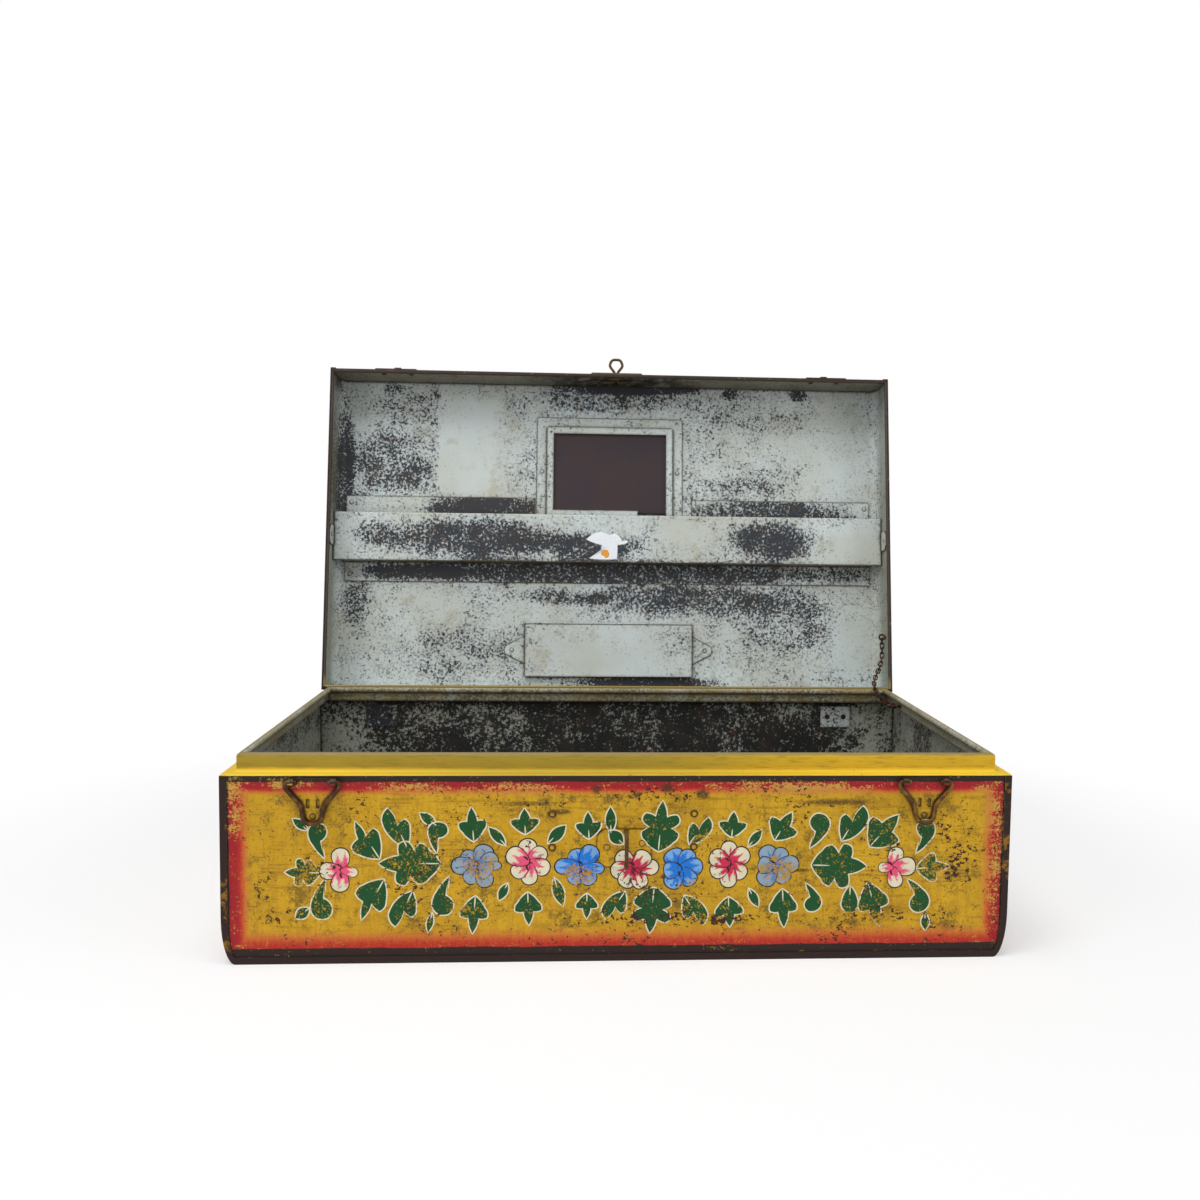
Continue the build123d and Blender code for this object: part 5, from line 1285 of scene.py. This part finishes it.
@dataclass
class Lid:
    """The lid: its shell, hooks, eye, mirror and pockets."""

    band_reach: tuple[float, float] = (-200.0, 200.0)
    band_drop: float = 56.0  # the band is drawn at the front's heights and lowered to the lid's middle
    pocket_face: float = 24.0  # from the lid's mouth in to the long pocket's face

    def dress(self) -> None:
        """Gives the lid's CAD nodes their finishes."""
        pocket = (
            (-118, 124, 96, 24, 0.26),
            (-196, 127, 26, 15, 0.15),
            (-20, 118, 60, 16, 0.24),
            (132, 124, 46, 24, 0.26),
            (62, 130, 36, 14, -0.10),
            (205, 124, 30, 24, -0.12),
            (-215, 125, 14, 20, -0.06),
            (0, 97, 300, 15, 0.25),
            (-160, 97, 60, 9, 0.14),
        )
        strips = (
            (-104, 150, 72, 18, 0.34),
            (-20, 97, 320, 15, 0.22),
            (136, 150, 96, 18, 0.24),
        )
        clean = ((0, 30, 80, 40, -0.12), (50, 38, 24, 18, 0.10))
        mirror = ((-50, 185, 12, 40, 0.06), (0, 180, 80, 60, -0.05))
        plate = (paint(104, 94, 62), paint(78, 62, 40), paint(150, 142, 110))
        pin = (paint(84, 68, 44), paint(110, 74, 42), paint(170, 150, 110))
        finishes = {
            "lid_wrapper": SheetPaint(Design.LID_SHELL, Lining.LID, LID_MIDDLE),
            "lid_front_strip": SheetPaint(Design.LID_EDGE, Lining.SHADE, LID_MIDDLE),
            "lid_rear_strip": SheetPaint(Design.LID_EDGE, Lining.LID, LID_MIDDLE),
            "long_pocket": LidFitting(pocket, 17.0),
            "pocket_back_strips": LidFitting(strips, 23.0),
            "card_pocket": LidFitting(clean, 37.0),
            "mirror_frame": LidFitting(mirror, 43.0),
            "long_pocket_rivets": LidFitting(strips, 51.0),
            "card_pocket_rivets": LidFitting(clean, 57.0),
            "mirror_frame_rivets": LidFitting(clean, 63.0),
            "mirror_pane": DarkPane(),
            "lid_eye_plate": DarkIron(*plate),
            "split_pin_eye": DarkIron(*pin, 0.6),
            "catch_left": DarkIron(),
            "catch_right": DarkIron(),
            "catch_rivets": DarkIron(),
            "hinge_lid_leaf_left": DarkIron(),
            "hinge_lid_leaf_right": DarkIron(),
            "lid_hinge_rivets": DarkIron(),
            "lid_hem_wires": DarkIron(),
            "lid_chain_eye": DarkIron(rust=EYE_RUST),
        }
        dress_nodes(finishes)

    def build(self) -> None:
        """Paints the lid's top and lays the torn paper on the long pocket."""
        steps = list(zip(LID_CORNER, LID_INWARD, LID_UP))
        top = tuple(c + LID_DEPTH * w + LID_LENGTH / 2 * u for c, w, u in steps)
        canvas = Canvas(top, LEFT, LID_UP, LID_INWARD)
        green = BrushPaint(0.04, (), True).material("lid_leaf_brushwork")
        bloom = BrushPaint(0.0, (), True).material("lid_flower_brushwork")
        FloralBand("lid_top", canvas, self.band_reach, self.band_drop).build(green, bloom, "lid")
        face = tuple(c + self.pocket_face * w for c, w, _ in steps)
        out = tuple(-w for w in LID_INWARD)
        scrap = PaintFilm("paper_scrap", Canvas(face, RIGHT, LID_UP, out))
        torn = [
            (-21.1, 124.2), (-14.4, 129.7), (-8.6, 131.0), (-1.9, 128.3), (3.1, 129.7), (8.2, 125.2),
            (9.0, 122.8), (13.0, 124.0), (13.6, 122.0), (10.5, 120.6), (5.0, 119.9), (4.4, 108.2),
            (-1.0, 107.6), (-18.6, 108.4), (-9.0, 113.6), (-8.0, 119.6), (-14.0, 121.2),
        ]
        blot = [
            (-8.8, 112.0), (-7.6, 115.2), (-3.6, 115.6), (-1.8, 112.2), (-2.6, 109.6), (-4.6, 108.8),
            (-6.0, 110.4),
        ]
        whites = (paint(236, 240, 244), paint(214, 218, 220))
        oranges = (paint(232, 158, 46), paint(214, 140, 50))
        scrap.shape(np.array(torn), 0.05, 0.4, whites, PAPER_LEVEL)
        scrap.shape(np.array(blot), 0.1, 0.4, oranges, BLOT_LEVEL)
        scrap.build(PaperScrap().material("paper"), "worn_inner_paint", "lid")


@dataclass
class StayChain:
    """Slack chain of wire links from the lid's right wall over the rear rim into the tub."""

    route: tuple[Point, ...] = (
        (224.5, 158.45, 158.12),
        (221.3, 145.6, 140.2),
        (212.8, 130.1, 128.8),
        (209.3, 119.8, 123.7),
        (210.0, 108.0, 117.2),
        (214.0, 94.0, 113.4),
        (217.0, 82.0, 113.6),
    )
    links: int = 21
    wire: float = 0.55
    half_width: float = 1.45
    pitch: float = 4.9
    end_reach: float = 3.55
    loop_points: int = 28
    wire_points: int = 8

    def line(self, count: int = 600) -> tuple[Array, Array]:
        """Curve through the route.

        Between two route points it is the cubic with slopes of half the step between the
        neighbours on either side.

        Args:
            count: points on the whole curve.

        Returns:
            The points and their distances along the curve.
        """
        p = np.asarray(self.route, float)
        slope = np.gradient(p, axis=0)
        t = np.linspace(0, len(p) - 1, count)
        k = np.minimum(t.astype(int), len(p) - 2)
        f = (t - k)[:, None]
        a, b, da, db = p[k], p[k + 1], slope[k], slope[k + 1]
        places = (2 * f**3 - 3 * f**2 + 1) * a + (f**3 - 2 * f**2 + f) * da
        line = places + (-2 * f**3 + 3 * f**2) * b + (f**3 - f**2) * db
        along = np.concatenate([[0.0], np.cumsum(np.linalg.norm(np.diff(line, axis=0), axis=1))])
        return line, along

    def frames(self) -> tuple[Array, Array, Array, Array]:
        """Places the links along the curve, each turned a quarter against the one before.

        Returns:
            Middle of each link, the way it runs, its broad side and its normal.
        """
        line, along = self.line()
        stops = np.linspace(self.end_reach, along[-1] - self.end_reach, self.links)
        place, ahead, behind = (
            np.stack([np.interp(stops + step, along, line[:, n]) for n in range(3)], 1)
            for step in (0.0, 1.0, -1.0)
        )
        run = ahead - behind
        run /= np.linalg.norm(run, axis=1, keepdims=True)
        flat = np.cross([1.0, 0.0, 0.0], run)
        flat /= np.linalg.norm(flat, axis=1, keepdims=True)
        upright = np.cross(run, flat)
        even = (np.arange(self.links) % 2 == 0)[:, None]
        return place, run, np.where(even, flat, upright), np.where(even, upright, flat)

    def build(self) -> None:
        """Builds all links as one piece: a wire circle carried round a loop with straight sides."""
        place, run, side, normal = self.frames()
        straight = (self.pitch + 2 * self.wire) / 2 - self.half_width
        turn = np.linspace(0, 2 * math.pi, self.loop_points, endpoint=False)[:, None]
        round_ = np.linspace(0, 2 * math.pi, self.wire_points, endpoint=False)
        bulge = self.half_width + self.wire * np.cos(round_)
        local_x = np.cos(turn) * bulge + np.sign(np.cos(turn)) * straight
        local_y = np.sin(turn) * bulge
        local_z = np.broadcast_to(self.wire * np.sin(round_), local_x.shape)
        points = place[:, None, None]
        for local, axis in ((local_x, run), (local_y, side), (local_z, normal)):
            points = points + local[None, ..., None] * axis[:, None, None]
        i, j = np.meshgrid(np.arange(self.loop_points), np.arange(self.wire_points), indexing="ij")
        row, next_row = i * self.wire_points, (i + 1) % self.loop_points * self.wire_points
        next_j = (j + 1) % self.wire_points
        quad = np.stack([row + j, next_row + j, next_row + next_j, row + next_j], -1).reshape(-1, 4)
        flipped = np.einsum("ij,ij->i", np.cross(run, side), normal) < 0
        size = self.loop_points * self.wire_points
        faces = [(quad[:, ::-1] if flip else quad) + size * number for number, flip in enumerate(flipped)]
        mesh = make_mesh("chain_links", points.reshape(-1, 3) * MM, np.vstack(faces))
        mesh.validate()
        mesh.shade_smooth()
        finish = DarkIron(paint(52, 34, 24), paint(98, 56, 32), paint(196, 184, 168), 0.8)
        piece = place_piece(mesh, "chain_links", finish.material("chain_iron"), None)
        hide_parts("stay_chain")
        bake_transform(piece)


def dress_nodes(finishes: dict[str, Any]) -> None:
    """Puts each finish on its CAD node, as a material named after the node."""
    for name, finish in finishes.items():
        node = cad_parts[name]
        node.data.materials.clear()
        node.data.materials.append(finish.material(f"{name}_finish"))
        log.info("dressed %s", name)


# ================================================================ studio
@dataclass(frozen=True)
class Lamp:
    """Square area lamp that faces a point."""

    name: str
    place: Point
    aim: Point
    size: float
    power: float

    def build(self) -> None:
        """Hangs the lamp and turns it to its point."""
        data = bpy.data.lights.new(self.name, "AREA")
        data.size = self.size
        data.energy = self.power
        lamp = bpy.data.objects.new(self.name, data)
        lamp.rotation_mode = "QUATERNION"
        lamp.rotation_quaternion = (Vector(self.place) - Vector(self.aim)).to_track_quat("Z", "Y")
        lamp.location = self.place
        bpy.context.scene.collection.objects.link(lamp)


@dataclass
class Studio:
    """Pale floor, soft lights and the camera at the photograph's place."""

    lens: float = 35.208
    shift: tuple[float, float] = (-0.04414, -0.00708)
    place: Point = (-0.02787, -0.79530, 0.26575)
    pitch: float = 0.07457
    yaw: float = -0.06450
    roll: float = -0.01440
    floor_reach: float = 6.0
    floor_cells: int = 12
    lamps: tuple[Lamp, ...] = (
        Lamp("overhead", (-0.3, -0.5, 1.7), (0.0, 0.05, 0.15), 1.1, 22.0),
        Lamp("left_window", (-1.5, -1.3, 0.9), (0.0, 0.0, 0.15), 1.0, 8.0),
        Lamp("right_window", (1.6, -0.9, 0.8), (0.0, 0.1, 0.2), 0.9, 7.5),
    )

    def camera(self) -> None:
        """Places the camera: turned by yaw about the vertical, pitched down, then rolled."""
        data = bpy.data.cameras.new("camera")
        data.sensor_width = 36.0
        data.lens = self.lens
        data.shift_x, data.shift_y = self.shift
        right = np.array([math.cos(self.yaw), math.sin(self.yaw), 0.0])
        level = np.array([-math.sin(self.yaw), math.cos(self.yaw), 0.0])
        rise = np.array([0.0, 0.0, 1.0])
        ahead = math.cos(self.pitch) * level - math.sin(self.pitch) * rise
        top = math.sin(self.pitch) * level + math.cos(self.pitch) * rise
        side = math.cos(self.roll) * right - math.sin(self.roll) * top
        up = math.sin(self.roll) * right + math.cos(self.roll) * top
        turned = Matrix(np.stack([side, up, -ahead], 1).tolist()).to_4x4()
        turned.translation = self.place
        camera = bpy.data.objects.new("camera", data)
        camera.matrix_world = turned
        bpy.context.scene.collection.objects.link(camera)
        bpy.context.scene.camera = camera

    def floor(self) -> None:
        """Lays a wide pale floor that keeps the shadow and turns white away from the trunk."""
        count = self.floor_cells + 1
        grid = np.linspace(-self.floor_reach, self.floor_reach, count)
        x, y = np.meshgrid(grid, grid, indexing="ij")
        points = np.stack([x, y, np.zeros_like(x)], -1).reshape(-1, 3)
        i, j = np.meshgrid(np.arange(self.floor_cells), np.arange(self.floor_cells), indexing="ij")
        first = i * count + j
        faces = np.stack([first, first + count, first + count + 1, first + 1], -1).reshape(-1, 4)
        mesh = make_mesh("floor", points, faces)
        recipe = Recipe("pale_floor")
        far = recipe.vector("LENGTH", recipe.vector("MULTIPLY", recipe.mm, (1.0, 1.0, 0.0)))
        path = recipe.node("ShaderNodeLightPath", output="Is Camera Ray")
        shine = recipe.node("ShaderNodeLightPath", output="Is Glossy Ray")
        pale = {"Base Color": paint(246, 246, 246), "Roughness": 0.9}
        matte = recipe.node("ShaderNodeBsdfPrincipled", {}, pale)
        glow = recipe.node("ShaderNodeEmission", {}, {"Color": WHITE, "Strength": 1.0})
        share = path.larger(shine) * (0.45 + far.rise(300.0, 620.0, 0.55))
        both = recipe.node("ShaderNodeMixShader", {}, {0: share, 1: matte, 2: glow})
        mesh.materials.append(recipe.close(both))
        floor = bpy.data.objects.new("floor", mesh)
        bpy.context.scene.collection.objects.link(floor)

    def world(self) -> None:
        """White to the camera, dimmer as light on the trunk."""
        recipe = Recipe("studio", world=True)
        path = recipe.node("ShaderNodeLightPath", output="Is Camera Ray")
        seen = recipe.node("ShaderNodeBackground", {}, {"Color": WHITE, "Strength": 1.0})
        lit = recipe.node("ShaderNodeBackground", {}, {"Color": (0.96, 0.98, 1.0, 1.0), "Strength": 0.32})
        both = recipe.node("ShaderNodeMixShader", {}, {0: path, 1: lit, 2: seen})
        bpy.context.scene.world = recipe.close(both)

    def build(self) -> None:
        """Sets up camera, floor, world and lamps."""
        bpy.context.scene.view_settings.view_transform = "Standard"
        self.camera()
        self.floor()
        self.world()
        for lamp in self.lamps:
            lamp.build()


def main() -> None:
    """Builds the studio and the trunk in order."""
    logging.basicConfig(level=logging.INFO, format="%(name)s %(message)s")
    Studio().build()
    tub, lid = Tub(), Lid()
    tub.dress()
    tub.build()
    lid.dress()
    lid.build()
    StayChain().build()


if __name__ == "__main__":
    main()
